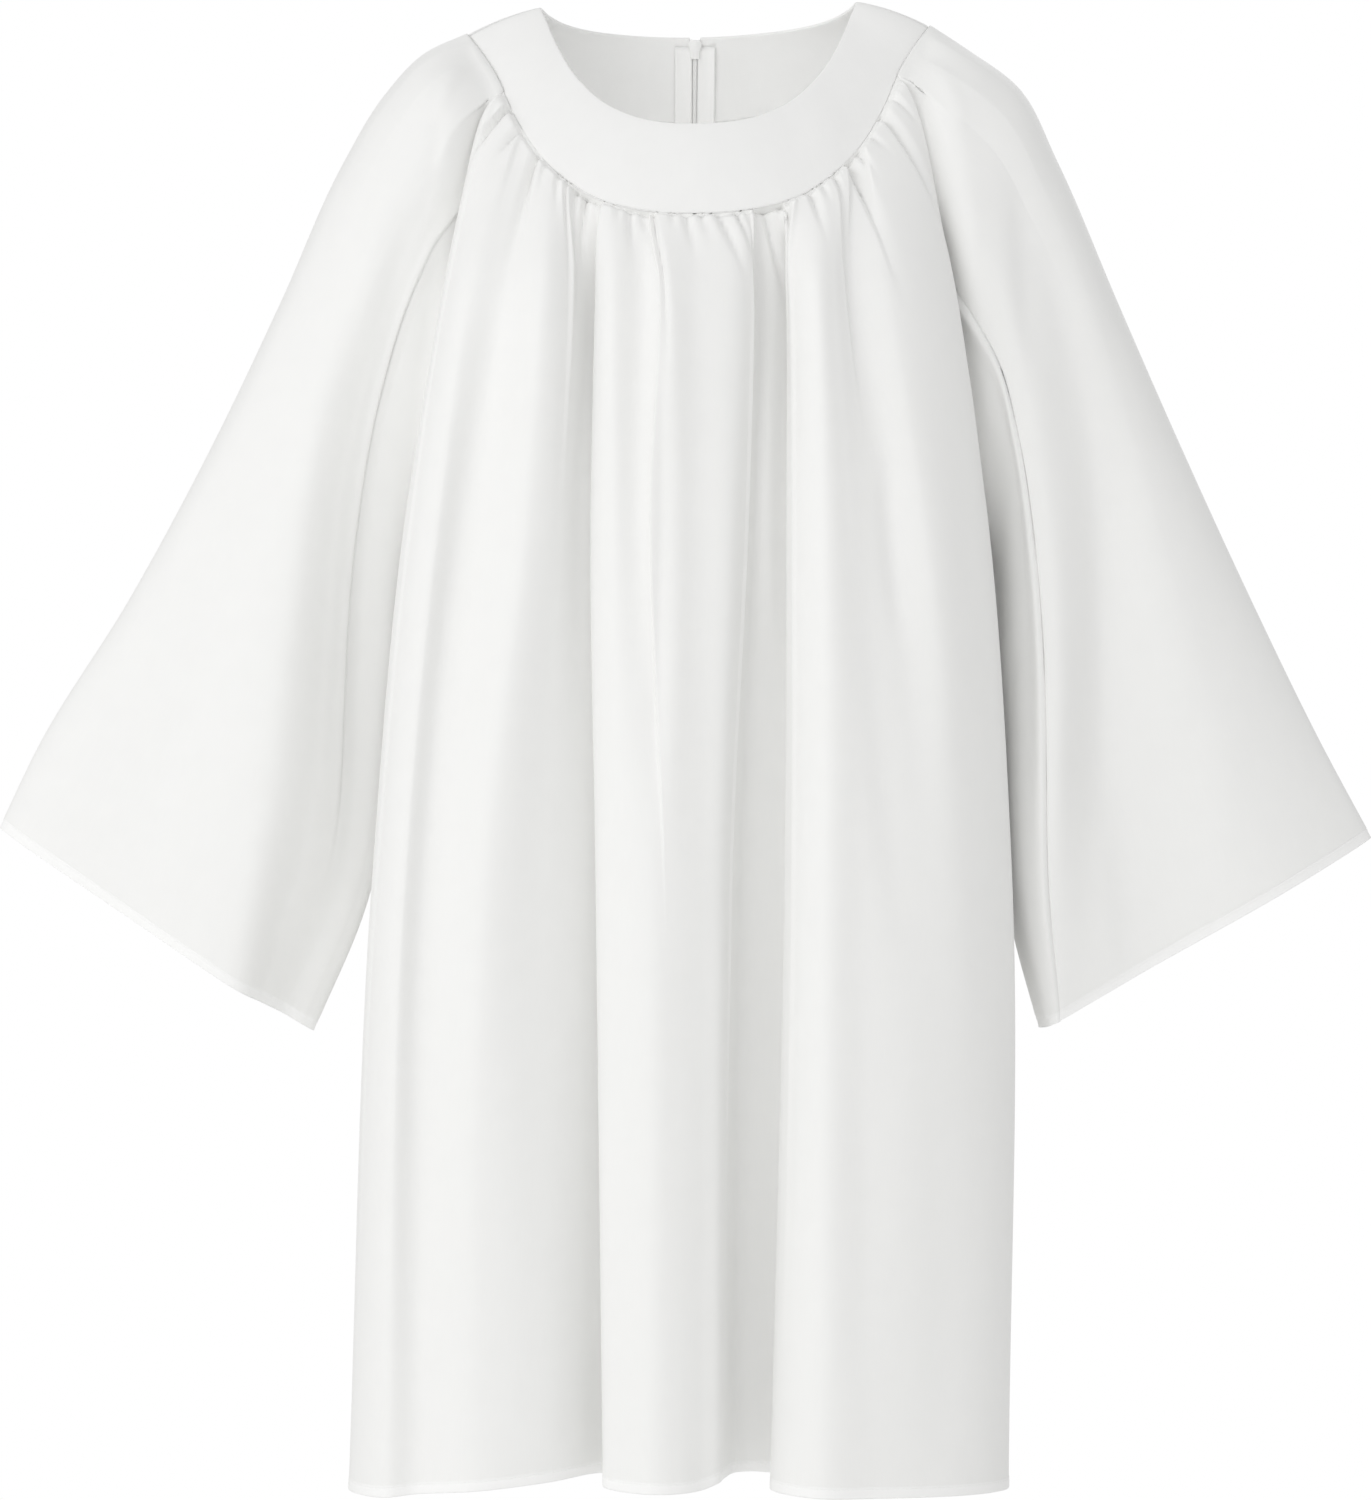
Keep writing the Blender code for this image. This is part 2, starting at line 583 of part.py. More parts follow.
def build_body(cloth, collection):
    """The gathered front and the two gathered back halves."""
    rows = FINE_ROWS + PLAIN_ROWS
    grids = {
        "body_front": front_panel(rows),
        "body_back_left": back_panel(-1, rows),
        "body_back_right": back_panel(1, rows),
    }
    for name, (grid, gathers) in grids.items():
        places, keep = column_places(gathers)
        side_gap = SEAM_GAP / 2
        if name == "body_front":
            grid = pull_back(grid, top=SEAM_GAP, start=side_gap, end=side_gap)
        else:
            grid = pull_back(grid, top=SEAM_GAP, end=side_gap)
        fine = len(FINE_ROWS)
        row_points = [grid[row] if row < fine else grid[row][keep] for row in range(len(rows))]
        row_places = [places if row < fine else places[keep] for row in range(len(rows))]
        sheet_object(name, row_points, row_places, CLOTH, cloth, collection,
                     flip=name == "body_back_right")


def armhole_half(side, back):
    """Armhole vertices from the underarm to the shoulder point, with their shares."""
    rows = [row for row in (FINE_ROWS + PLAIN_ROWS) if row <= 2.0][::-1]
    raglan = side_edge(side, rows, back)
    start = SIDES[side].back if back else SIDES[side].front
    stations = np.linspace(start, FRONT_STATIONS, SHOULDER_STEPS)[1:] * side
    points = np.vstack([raglan, ring_point(stations, 1.0)])
    steps = np.linalg.norm(np.diff(points, axis=0), axis=1)
    shares = np.concatenate([[0.0], np.cumsum(steps)]) / steps.sum()
    return points, shares


def outline_curve(points, shares):
    """Outline of a sleeve read at shares of its length."""
    points = np.asarray(points, float)
    steps = np.linalg.norm(np.diff(points, axis=0), axis=1)
    knots = np.concatenate([[0.0], np.cumsum(steps)])
    return hermite(knots, points, np.asarray(shares) * knots[-1])


def sleeve_grid(side, rows):
    """Points of a sleeve, from the armhole to the cuff by once around."""
    front_points, front_shares = armhole_half(side, back=False)
    back_points, back_shares = armhole_half(side, back=True)
    armhole = np.vstack([front_points, back_points[-2:0:-1]])
    folds = [SleeveFold("lower", 0, 0, 0, 0, 0, 0, 0, 0), *SLEEVE_FRONT[side]]
    folds += [SleeveFold("upper", 1, 1, 1, 1, 0, 0, 0, 0), *reversed(SLEEVE_BACK)]
    top = len(SLEEVE_FRONT[side]) + 1
    front_w = [fold.w_arm for fold in folds[:top + 1]]
    back_w = [fold.w_arm for fold in folds[top:]] + [0.0]
    front_columns = np.interp(front_shares, front_w, np.arange(top + 1))
    back_columns = np.interp(-back_shares[-2:0:-1], -np.array(back_w),
                             np.arange(top, top + len(back_w)))
    columns = np.concatenate([front_columns, back_columns])
    shoulder = ring_point(side * FRONT_STATIONS, 1.0)[0]
    seam = SIDES[side]
    upper = outline_curve([(shoulder[0], shoulder[2])] + list(UPPER_OUTLINE[side]), rows)
    lower = outline_curve([(seam.x_chest, Z_CHEST)] + list(LOWER_OUTLINE[side]), rows)
    shares = np.array([[f.w_arm, f.w_upper, f.w_lower, f.w_cuff] for f in folds])
    depths = np.array([[f.y_arm, f.y_upper, f.y_lower, f.y_cuff] for f in folds])
    place = hermite(SLEEVE_LEVELS, shares.T, rows)
    depth = hermite(SLEEVE_LEVELS, depths.T, rows)
    grid = []
    for row in range(len(rows)):
        span = upper[row] - lower[row]
        x = lower[row][0] + span[0] * place[row]
        z = lower[row][1] + span[1] * place[row]
        points = np.column_stack([x, depth[row], z])
        count = len(points)
        ring = np.vstack([points[-2:], points, points[:3]])
        steps = np.linalg.norm(np.diff(ring, axis=0), axis=1) ** 0.5
        knots = np.concatenate([[0.0], np.cumsum(np.maximum(steps, 0.05))])
        grid.append(hermite(knots, ring, share_of_knots(knots, columns + 2)))
    grid = np.array(grid)
    settle = 1 - smooth_step(np.asarray(rows) / ARMHOLE_REACH)
    roll = np.clip(1 - np.asarray(rows) / ROLL_REACH, 0, 1) ** 2
    shift = armhole - grid[0]
    grid[:, :, [0, 2]] += settle[:, None, None] * shift[:, [0, 2]]
    grid[:, :, 1] += roll[:, None] * shift[:, 1]
    return grid


def build_sleeves(cloth, collection):
    """The two wide raglan sleeves, each closed by its underarm seam."""
    for side, name in ((-1, "sleeve_left"), (1, "sleeve_right")):
        grid = pull_back(sleeve_grid(side, SLEEVE_ROWS), top=SEAM_GAP)
        spread = 1 - smooth_step(np.array(SLEEVE_ROWS) / ARMHOLE_REACH)
        spread[0] = ARMHOLE_START
        grid[:, :, 0] += side * RAGLAN_SPREAD * spread[:, None]
        grid[1:, :, 1] *= 1 - RAGLAN_NARROWING * spread[1:, None]
        places = [np.arange(grid.shape[1])] * len(SLEEVE_ROWS)
        sheet_object(name, grid, places, CLOTH, cloth, collection, flip=side < 0, closed=True)


def zip_line(side, offset):
    """Outer face beside the centre back, down a line at a distance from it."""
    depth = np.linalg.norm(ring_point(LAST_STATION, 1.0)[0] - ring_point(LAST_STATION, 0.0)[0])
    edges = (ZIP_TOP / depth, *ZIP_YOKE_EDGES)
    points = []
    for edge in edges:
        reach = RING[-2].neck_x + (RING[-2].seam_x - RING[-2].neck_x) * edge
        station = LAST_STATION - offset / reach
        point = ring_point(side * station, edge)[0]
        point[0] = back_line(point[2]) + side * offset
        points.append(point)
    rows = [row for row in FINE_ROWS + PLAIN_ROWS if row <= ZIP_LAST_ROW]
    beside = back_panel(side, FINE_ROWS + PLAIN_ROWS, np.array([0.0, 1.0]))[0]
    reach = np.abs(beside[:, 1, 0] - beside[:, 0, 0])
    for index in range(len(rows)):
        column = np.clip((offset - ZIP_SLIT) / reach[index], 0.0, 1.0)
        line = back_panel(side, FINE_ROWS + PLAIN_ROWS, np.array([0.0, column, 1.0]))[0]
        point = line[index, 1].copy()
        point[0] = back_line(point[2]) + side * offset
        points.append(point)
    return np.array(points), len(edges)


def below_face(points, yoke_rows):
    """Points just inside the wall that a line of outer points belongs to."""
    down = unit(np.gradient(points, axis=0) * np.array([0.0, 1.0, 1.0]))
    outward = np.column_stack([np.zeros(len(points)), -down[:, 2], down[:, 1]])
    depth = np.full(len(points), CLOTH + ZIP_CLEAR)
    depth[:yoke_rows + 1] = YOKE_CLOTH + ZIP_CLEAR
    return points - outward * depth[:, None]


def build_zip(tape_cloth, metal, collection):
    """Tapes, chain, bottom stop, slider and pull tab of the concealed zip."""
    middle = {}
    for side, name in ((-1, "zip_tape_left"), (1, "zip_tape_right")):
        lines = []
        for share in (0.0, 0.5, 1.0):
            points, yoke_rows = zip_line(side, TAPE_INNER + share * TAPE_WIDTH)
            lines.append(below_face(points, yoke_rows))
        grid = np.array(lines).transpose(1, 0, 2)
        sheet_object(name, grid, [np.arange(3)] * len(grid), TAPE_CLOTH, tape_cloth,
                     collection, flip=side > 0)
        middle[side] = grid[:, 0]
    centre = (middle[-1] + middle[1]) / 2
    across = np.array([CHAIN_HALF, 0.0, 0.0])
    chain = np.array([centre - across, centre + across]).transpose(1, 0, 2)
    sheet_object("zip_chain", chain, [np.arange(2)] * len(chain), CHAIN_DEPTH, tape_cloth,
                 collection, flip=True)
    end = centre[-1]
    run = unit(centre[-1] - centre[-2])
    frame = local_frame(end, run)
    stop = bpy.data.meshes.new("zip_bottom_stop")
    width, depth, length = STOP_SIZE
    box = bmesh.new()
    bmesh.ops.create_cube(box, size=1.0)
    bmesh.ops.scale(box, vec=Vector((width, length, depth)) * MM, verts=box.verts)
    bmesh.ops.translate(box, verts=box.verts, vec=Vector(
        (0, length / 2 + ZIP_CLEAR, -CHAIN_DEPTH / 2)) * MM)
    box.to_mesh(stop)
    box.free()
    place_object(stop, "zip_bottom_stop", frame, tape_cloth, collection)
    build_slider(metal, collection)


def local_frame(origin, run):
    """Frame with X across, Y down the zip and Z outward, at a point in millimetres."""
    across = Vector((1.0, 0.0, 0.0))
    down = Vector((0.0, run[1], run[2])).normalized()
    outward = across.cross(down)
    frame = Matrix((across, down, outward)).transposed().to_4x4()
    frame.translation = Vector(origin) * MM
    return frame


def place_object(mesh, name, frame, material, collection):
    """Links a mesh or curve as a part in its local frame."""
    thing = bpy.data.objects.new(name, mesh)
    thing.data.materials.append(material)
    thing.matrix_world = frame
    collection.objects.link(thing)
    return thing


def loft_mesh(name, sections):
    """Closed body through sections of equal point count, capped at both ends."""
    vertices = [tuple(np.asarray(point) * MM) for section in sections for point in section]
    count = len(sections[0])
    faces = [tuple(range(count))[::-1], tuple(range(len(vertices) - count, len(vertices)))]
    for ring in range(len(sections) - 1):
        for i in range(count):
            j = (i + 1) % count
            faces.append((ring * count + i, ring * count + j, (ring + 1) * count + j,
                          (ring + 1) * count + i))
    mesh = bpy.data.meshes.new(name)
    mesh.from_pydata(vertices, [], faces)
    fill = bmesh.new()
    fill.from_mesh(mesh)
    bmesh.ops.recalc_face_normals(fill, faces=fill.faces)
    fill.to_mesh(mesh)
    fill.free()
    return mesh


def build_slider(metal, collection):
    """Slider body with its bail, and the pull tab that hangs on the bail."""
    top = ring_point(LAST_STATION, 0.0)[0]
    seam = ring_point(LAST_STATION, 1.0)[0]
    top[0] = back_line(top[2])
    run = (seam - top) * np.array([0.0, 1.0, 1.0])
    frame = local_frame(top, run)
    inside = -(YOKE_CLOTH + ZIP_CLEAR + CHAIN_DEPTH + ZIP_CLEAR)
    sections = []
    for section in SLIDER_SECTIONS:
        half = section.half_width
        lip = inside + SLIDER_LIP
        outline = [(-half, inside - SLIDER_PLATE), (half, inside - SLIDER_PLATE), (half, lip),
                   (SLIDER_THROAT, lip), (SLIDER_THROAT, inside), (-SLIDER_THROAT, inside),
                   (-SLIDER_THROAT, lip), (-half, lip)]
        sections.append([(x, section.down, out) for x, out in outline])
    slider = place_object(loft_mesh("zip_slider", sections), "zip_slider", frame, metal,
                          collection)
    half = BAIL_WIRE / 2
    rings = []
    path = np.array(BAIL_PATH)
    along = unit(np.gradient(path, axis=0))
    for (down, out), (step_down, step_out) in zip(path, along):
        rings.append([(x * half, down + y * half * step_out, out - y * half * step_down)
                      for x, y in ((-1, -1), (1, -1), (1, 1), (-1, 1))])
    cutters = bpy.data.collections.new("joined_shapes")
    bpy.context.scene.collection.children.link(cutters)
    bail = place_object(loft_mesh("bail", rings), "bail", frame, metal, cutters)
    bail.hide_render = True
    bail.display_type = "WIRE"
    join = slider.modifiers.new("bail", "BOOLEAN")
    join.operation = "UNION"
    join.object = bail
    down, out = PULL_AXIS
    axis = frame @ Vector((0.0, down * MM, out * MM))
    place = frame.copy()
    place.translation = axis
    outline = bpy.data.curves.new("zip_pull_tab", "CURVE")
    outline.dimensions = "2D"
    outline.fill_mode = "BOTH"
    outline.extrude = PULL_THICKNESS / 2 * MM
    side = [(width, down) for down, width in PULL_HALF_WIDTHS]
    add_outline(outline, side + [(-x, y) for x, y in reversed(side)])
    add_outline(outline, [(-PULL_HOLE_HALF, PULL_BAR), (-PULL_HOLE_HALF, PULL_HOLE_END),
                          (PULL_HOLE_HALF, PULL_HOLE_END), (PULL_HOLE_HALF, PULL_BAR)])
    place_object(outline, "zip_pull_tab", place, metal, collection)


def add_outline(curve, points):
    """One closed straight-sided outline of a flat curve."""
    spline = curve.splines.new("POLY")
    spline.points.add(len(points) - 1)
    for point, (x, y) in zip(spline.points, points):
        point.co = (x * MM, y * MM, 0.0, 1.0)
    spline.use_cyclic_u = True


def main():
    """Builds the robe."""
    for thing in list(bpy.data.objects):
        bpy.data.objects.remove(thing, do_unlink=True)
    robe = bpy.data.collections.new("choir_robe")
    bpy.context.scene.collection.children.link(robe)
    cloth = make_material("robe_cloth", (0.92, 0.92, 0.91), 0.7)
    yoke_cloth = make_material("yoke_cloth", (0.91, 0.91, 0.90), 0.7)
    tape_cloth = make_material("zip_tape_cloth", (0.93, 0.93, 0.92), 0.8)
    slider_coat = make_material("slider_enamel", (0.94, 0.94, 0.93), 0.35)
    build_yoke(yoke_cloth, robe)
    build_body(cloth, robe)
    build_sleeves(cloth, robe)
    build_zip(tape_cloth, slider_coat, robe)


main()
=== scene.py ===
"""Choir robe with its finish: gathered body, raglan sleeves, faced yoke, back zip and studio.

Every cloth piece is a numpy surface on the same fold lines as the solid it stands for, with
finer gathers, creases and a turned hem.  Tables are in millimetres; meshes are in metres.
"""
import logging
import math
from dataclasses import dataclass, field
from enum import Enum
from typing import NamedTuple, Optional

import bpy
import numpy as np
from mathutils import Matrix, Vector


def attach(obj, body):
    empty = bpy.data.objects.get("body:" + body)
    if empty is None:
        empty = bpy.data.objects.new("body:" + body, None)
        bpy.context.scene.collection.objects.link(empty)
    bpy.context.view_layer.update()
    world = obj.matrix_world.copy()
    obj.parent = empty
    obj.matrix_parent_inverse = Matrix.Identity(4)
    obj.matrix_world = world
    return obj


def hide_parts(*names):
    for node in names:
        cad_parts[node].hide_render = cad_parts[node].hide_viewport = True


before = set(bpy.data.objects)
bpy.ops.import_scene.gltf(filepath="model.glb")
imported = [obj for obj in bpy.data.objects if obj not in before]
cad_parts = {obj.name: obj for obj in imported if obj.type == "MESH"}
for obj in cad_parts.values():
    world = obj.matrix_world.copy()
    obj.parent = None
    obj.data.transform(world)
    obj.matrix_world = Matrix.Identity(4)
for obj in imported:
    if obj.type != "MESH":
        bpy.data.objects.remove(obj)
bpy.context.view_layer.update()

LOG = logging.getLogger("choir_robe")
Array = np.ndarray
Colour = tuple[float, float, float]

MM = 0.001
CLOTH = 0.9
BODY_WALL = 1.5
YOKE_CLOTH = 2.2
SEAM_GAP = 0.2
HANG_TILT = 0.018
SEAM_STIFFNESS = 0.6
SEAM_HOLD = 0.9
Z_BUST = -190.0
Z_CHEST = -330.0
Z_WAIST = -560.0
FRONT_STATIONS = 7
BACK_LINE_Z = np.array([0.0, 400.0, 960.0])
BACK_LINE_X = np.array([-2.0, -5.0, -9.0])
ZIP_SLIT = 0.9
CENTRE_GAP_Z = np.array([-330.0, -312.0, -86.0, -66.0])
CENTRE_GAP = np.array([0.15, 0.4, 0.4, ZIP_SLIT])
ACROSS = np.array([1.0, 0.0, 0.0])
UPRIGHT = np.array([0.0, 1.0, 1.0])

# Rows and columns: knots of the curve round a row, and the closer columns at a crisp edge.
ROW_POWER = 0.5
LEAST_CHORD = 0.05
CLOSEST = 0.02
NEAR_EDGE = np.array([-0.2, -0.13, -0.08, -0.04, 0.0, 0.04, 0.08, 0.13, 0.2])

# Rows of the body: those of the first level crowd towards the yoke seam.
SEAM_ROWS = 40
SEAM_ROW_POWER = 1.5
BODY_ROWS = ((1.0, 2.0, 22), (2.0, 3.0, 24), (3.0, 3.965, 26))

# Raglan seams: the armhole's depth, the sleeve's ease there, the puff and the groove.
ARMHOLE_FRONT = -45.0
ARMHOLE_BACK = 48.0
RAGLAN_FALL = 0.2
RAGLAN_SPREAD = 0.5
RAGLAN_NARROWING = 0.02
SEAM_PUFF = 4.6
SEAM_PUFF_RISE = 1.8
SLEEVE_PUFF_RISE = 4.0
SEAM_PUFF_FADE = 34.0
PUFF_START = 0.1
PUFF_END = 0.8
PUFF_END_FADE = 0.6
SLEEVE_PUFF_END = 2.2
SLEEVE_PUFF_END_FADE = 0.9
SEAM_GROOVE = 3.0
SEAM_GROOVE_WIDTH = 2.6
SEAM_GROOVE_FOOT = -158.0
SEAM_GROOVE_FADE = 30.0

# Crisp fold edges: their rounding, the width of their lift and the level where they begin.
LEDGE_ROUND = 1.2
LEDGE_LIFT_WIDTH = 2.2
LEDGE_START = 0.06
LEDGE_LEVELS = (0.0, 1.0, 2.0, 3.0)

# Corners of the neck edge at the zip.
NECK_CORNER_WIDTH = 3.0
NECK_CORNER_DEPTH = 8.0
CORNER_RINGS = 6
CORNER_STEP = 0.35

# Turned hems: the band, its groove and puckers, and the rows' distances from the edge.
HEM_BAND = 7.5
HEM_RISE = 0.35
HEM_SHOULDER = 0.9
HEM_EDGE = 0.25
HEM_GROOVE = 0.28
HEM_GROOVE_WIDTH = 0.5
HEM_GROOVE_INSET = 1.6
PUCKER = 0.10
PUCKER_REACH = 3.0
PUCKER_LENGTH = 6.4
HEM_STEPS = np.array([12, 10, 8.6, 8.0, 7.4, 6.8, 6.3, 5.9, 5.4, 4.6, 3.4, 2.2, 1.1, 0.5, 0.0])
SKIRT_LENGTH = 395.0
SLEEVE_LENGTH = 600.0

# Lockstitches: the row they follow, and share, height and radius of a thread's four rings.
STITCH_ROW = -8
STITCH_START = 1.0
STITCH_PITCH = 3.2
STITCH_LENGTH = 2.3
STITCH_SIDES = 5
STITCH_RINGS = ((0.0, -0.16, 0.09), (0.25, 0.06, 0.15), (0.75, 0.06, 0.15), (1.0, -0.16, 0.09))


class Side(Enum):
    """The two sides of the robe, as seen from the front."""

    LEFT = -1
    RIGHT = 1

    @property
    def label(self) -> str:
        """The side's name, as pieces and nodes give it."""
        return self.name.lower()


class RingStation(NamedTuple):
    """One station of the neck edge and of the gathered seam below it."""

    neck_x: float
    neck_y: float
    neck_z: float
    seam_x: float
    seam_y: float
    seam_z: float


class SideSeam(NamedTuple):
    """Where the raglan seams leave the yoke, and x of the side seam at each level."""

    front: float
    back: float
    x_bust: float
    x_chest: float
    x_waist: float
    x_hem: float
    z_hem: float


class Fold(NamedTuple):
    """A fold line: its place on the yoke seam, then x, then depth, at the four levels."""

    name: str
    seam: float
    x_bust: float
    x_chest: float
    x_waist: float
    x_hem: float
    y_bust: float
    y_chest: float
    y_waist: float
    y_hem: float
    z_hem: float


class Gather(NamedTuple):
    """A crease of the gathers: place on the seam, drift, length, depth and both widths."""

    seam_x: float
    drift: float
    length: float
    depth: float
    left: float
    right: float


class Ledge(NamedTuple):
    """A crisp fold edge: fold numbers at the seam, bust, chest and waist, span and drops."""

    name: str
    at_seam: float
    at_bust: float
    at_chest: float
    at_waist: float
    foot: float
    lift: float
    left: float
    left_width: float
    right: float
    right_width: float


class Pleat(NamedTuple):
    """A flat-floored tuck below the seam, between two fold numbers."""

    name: str
    first: float
    last: float
    depth: float
    length: float


class Crease(NamedTuple):
    """A soft trough (depth above 0) or ridge between two places of the front or back view."""

    name: str
    x0: float
    z0: float
    x1: float
    z1: float
    bow: float
    depth: float
    width: float


class SleeveFold(NamedTuple):
    """A fold down a sleeve: share from lower to upper outline, then depth, at four levels."""

    name: str
    w_arm: float
    w_upper: float
    w_lower: float
    w_cuff: float
    y_arm: float
    y_upper: float
    y_lower: float
    y_cuff: float


RING = tuple(RingStation(*row) for row in (
    (0, -77, -88.5, 0, -100, -149), (24, -75, -86.8, 31, -98.5, -147),
    (44, -69, -81, 61, -91.5, -139), (63, -58, -69.5, 84, -80, -124),
    (80, -42, -50.5, 103, -64.5, -103.5), (91.5, -25, -29.5, 118, -46, -78),
    (98, -11, -13, 131.5, -25, -47), (103, 0, 0, 150, 0, -17.5),
    (98, 13, -2.5, 147, 23, -22), (88, 30, -5.5, 134, 46, -31),
    (72, 46, -7.5, 110, 69, -41), (51, 59, -8.5, 78, 87, -51),
    (27, 67, -9.2, 40, 98, -59), (0, 70, -9.5, 0, 101, -62),
))
LAST_STATION = len(RING) - 1

SIDES = {
    Side.LEFT: SideSeam(5.62, 8.7, -157, -176.5, -192, -205, -957),
    Side.RIGHT: SideSeam(5.8, 8.7, 158, 179, 187, 187, -956),
}

FRONT_FOLDS = (
    Fold("left side", -124.5, -160, -184, -207, -223, -80, -84, -75, -70, -958),
    Fold("left ridge", -115, -144, -163, -185, -198, -104, -110, -110, -106, -957),
    Fold("left dip", -103, -121, -147, -172, -178, -104, -103, -103, -105, -955),
    Fold("left crest", -91, -96, -106, -132, -138, -117, -124, -122, -118, -951),
    Fold("left fall", -81, -80, -86, -97, -94, -106, -112, -108, -108, -947),
    Fold("left valley", -70, -69, -74, -70, -65, -97, -99, -90, -80, -946),
    Fold("left tuck", -64, -61, -63, -61, -56, -95, -97, -86, -76, -947),
    Fold("middle edge", -61, -64, -68, -65, -60, -104, -108, -106, -108, -950),
    Fold("middle crest", -54, -55, -54, -51, -46, -118, -124, -122, -122, -951),
    Fold("middle dip", -37, -35, -39, -31, -28, -116, -125, -130, -131, -951),
    Fold("middle ridge", -28, -24, -27, -17, -12, -126, -131, -129, -128, -951),
    Fold("middle plateau", -6, -3, 1, 2, 2, -120, -124, -123, -119, -950),
    Fold("middle fall", 21, 23, 22, 15, 12, -116, -120, -116, -112, -947),
    Fold("middle step", 32, 33, 31, 21, 16, -108, -106, -102, -98, -946),
    Fold("right wall", 37, 39, 36, 28, 24, -96, -94, -84, -76, -946),
    Fold("right valley", 42, 47, 47, 40, 36, -95, -91, -80, -73, -946),
    Fold("right tuck", 52, 61, 63, 61, 54, -94, -92, -83, -75, -948),
    Fold("right edge", 54, 55, 55, 54, 45, -104, -110, -108, -104, -952),
    Fold("right crest", 70, 73, 77, 78, 74, -122, -135, -136, -134, -953),
    Fold("right slope", 85, 84, 94, 103, 110, -118, -131, -132, -127, -954),
    Fold("right dip", 93, 96, 118, 135, 141, -108, -118, -122, -117, -955),
    Fold("right roll", 105, 119, 141, 165, 167, -108, -118, -108, -104, -956),
    Fold("right fall", 115, 146, 166, 188, 187, -92, -98, -86, -86, -957),
    Fold("right side", 122, 161, 182, 200, 198, -70, -74, -60, -62, -958),
)

HALF_WIDTH = {Side.LEFT: (158, 180, 205, 219), Side.RIGHT: (160, 183, 206, 212)}
BACK_WANDER = 0.022
BACK_FOLDS = (
    Fold("beside zip", 0.09, 0.11, 0.09, 0.08, 0.075, 114, 118, 121, 121, -950),
    Fold("inner crest", 0.20, 0.22, 0.22, 0.20, 0.19, 123, 130, 133, 134, -951),
    Fold("inner fall", 0.31, 0.31, 0.30, 0.27, 0.25, 112, 112, 108, 106, -949),
    Fold("inner valley", 0.37, 0.37, 0.35, 0.33, 0.31, 98, 90, 84, 80, -947),
    Fold("outer tuck", 0.41, 0.41, 0.41, 0.39, 0.37, 96, 88, 82, 78, -947),
    Fold("outer edge", 0.43, 0.39, 0.38, 0.37, 0.36, 110, 110, 108, 106, -949),
    Fold("outer crest", 0.50, 0.48, 0.47, 0.46, 0.46, 122, 130, 132, 130, -951),
    Fold("outer dip", 0.64, 0.61, 0.62, 0.62, 0.62, 112, 116, 118, 118, -953),
    Fold("side roll", 0.77, 0.76, 0.78, 0.80, 0.81, 108, 112, 112, 112, -954),
    Fold("side fall", 0.89, 0.90, 0.91, 0.93, 0.94, 94, 98, 96, 96, -956),
    Fold("back side", 0.97, 1.0, 1.0, 1.0, 1.0, 76, 80, 74, 72, -957),
)

FRONT_GATHERS = tuple(Gather(*row) for row in (
    (-128, 0, 16, 2.5, 4, 4), (-120.3, -9, 30, 8.0, 2.5, 5), (-112.5, -8, 22, 3.5, 5, 7),
    (-102, -2, 46, 4.2, 6, 8), (-96, 0, 12, 2.2, 4, 4), (-88, 0, 15, 2.6, 4, 5),
    (-82.5, 0, 40, 3.0, 3, 6), (-77.4, 0, 10, 2.0, 3, 3), (-72, -1, 22, 4.0, 3, 5),
    (-61.5, 0, 60, 3.2, 6, 3), (-51, 1, 10, 1.8, 4, 5), (-43.5, 1, 20, 3.0, 5, 5),
    (-36, 2, 12, 1.8, 4, 4), (-28.5, 3, 60, 4.0, 8, 3), (-17, 0, 8, 1.8, 4, 5),
    (-8.8, 2, 17, 3.0, 5, 6), (0.5, 3, 12, 2.4, 5, 4), (10.7, 8, 24, 3.8, 4, 8),
    (17, 4, 9, 2.0, 4, 3), (22, 5, 14, 4.0, 3, 4), (31, 3, 42, 3.6, 7, 4), (40.5, 6, 34, 3.0, 4, 7),
    (51.5, 3, 12, 3.8, 4, 3), (55.5, 0, 60, 3.2, 5, 3), (68.5, 5, 22, 3.6, 4, 6),
    (76, 3, 10, 2.2, 4, 4), (84, 4, 13, 2.4, 5, 4), (93, 17, 52, 5.0, 3, 10),
    (100, 6, 14, 2.6, 4, 4), (107, 7, 12, 2.2, 4, 4), (115, 16, 50, 5.0, 3, 9),
    (121.5, 6, 16, 2.8, 4, 4),
))

FRONT_LEDGES = (
    Ledge("left rim", 1.0, 1.2, 1.2, 1.2, 3.9, 0.6, 0.0, 9, 0.9, 8),
    Ledge("left valley edge", 5.0, 5.0, 5.0, 5.0, 2.2, 1.0, 0.0, 8, 0.0, 8),
    Ledge("middle ridge edge", 10.72, 10.92, 10.72, 10.7, 3.2, 0.5, 4.2, 17, 0.0, 8),
    Ledge("middle step edge", 14.0, 14.0, 14.0, 14.0, 3.9, 1.3, 0.0, 8, 0.0, 8),
    Ledge("right crest edge", 18.3, 18.3, 18.3, 18.3, 3.9, 0.8, 0.0, 6, 0.5, 7),
    Ledge("right slope edge", 19.8, 20.6, 20.6, 20.6, 1.8, 0.3, 0.0, 8, 1.8, 11),
)
BACK_LEDGES = (
    Ledge("inner fall edge", 3.0, 3.0, 3.0, 3.0, 3.9, 1.1, 0.0, 8, 0.0, 8),
    Ledge("outer crest edge", 6.3, 6.3, 6.3, 6.3, 3.9, 0.8, 0.0, 6, 0.5, 7),
    Ledge("side roll edge", 8.5, 8.7, 8.8, 8.8, 2.6, 0.3, 1.8, 12, 0.0, 8),
)
BACK_PLEATS = (
    Pleat("inner valley", 3.0, 5.8, 6.5, 60),
    Pleat("side valley", 8.1, 9.2, 3.0, 44),
)
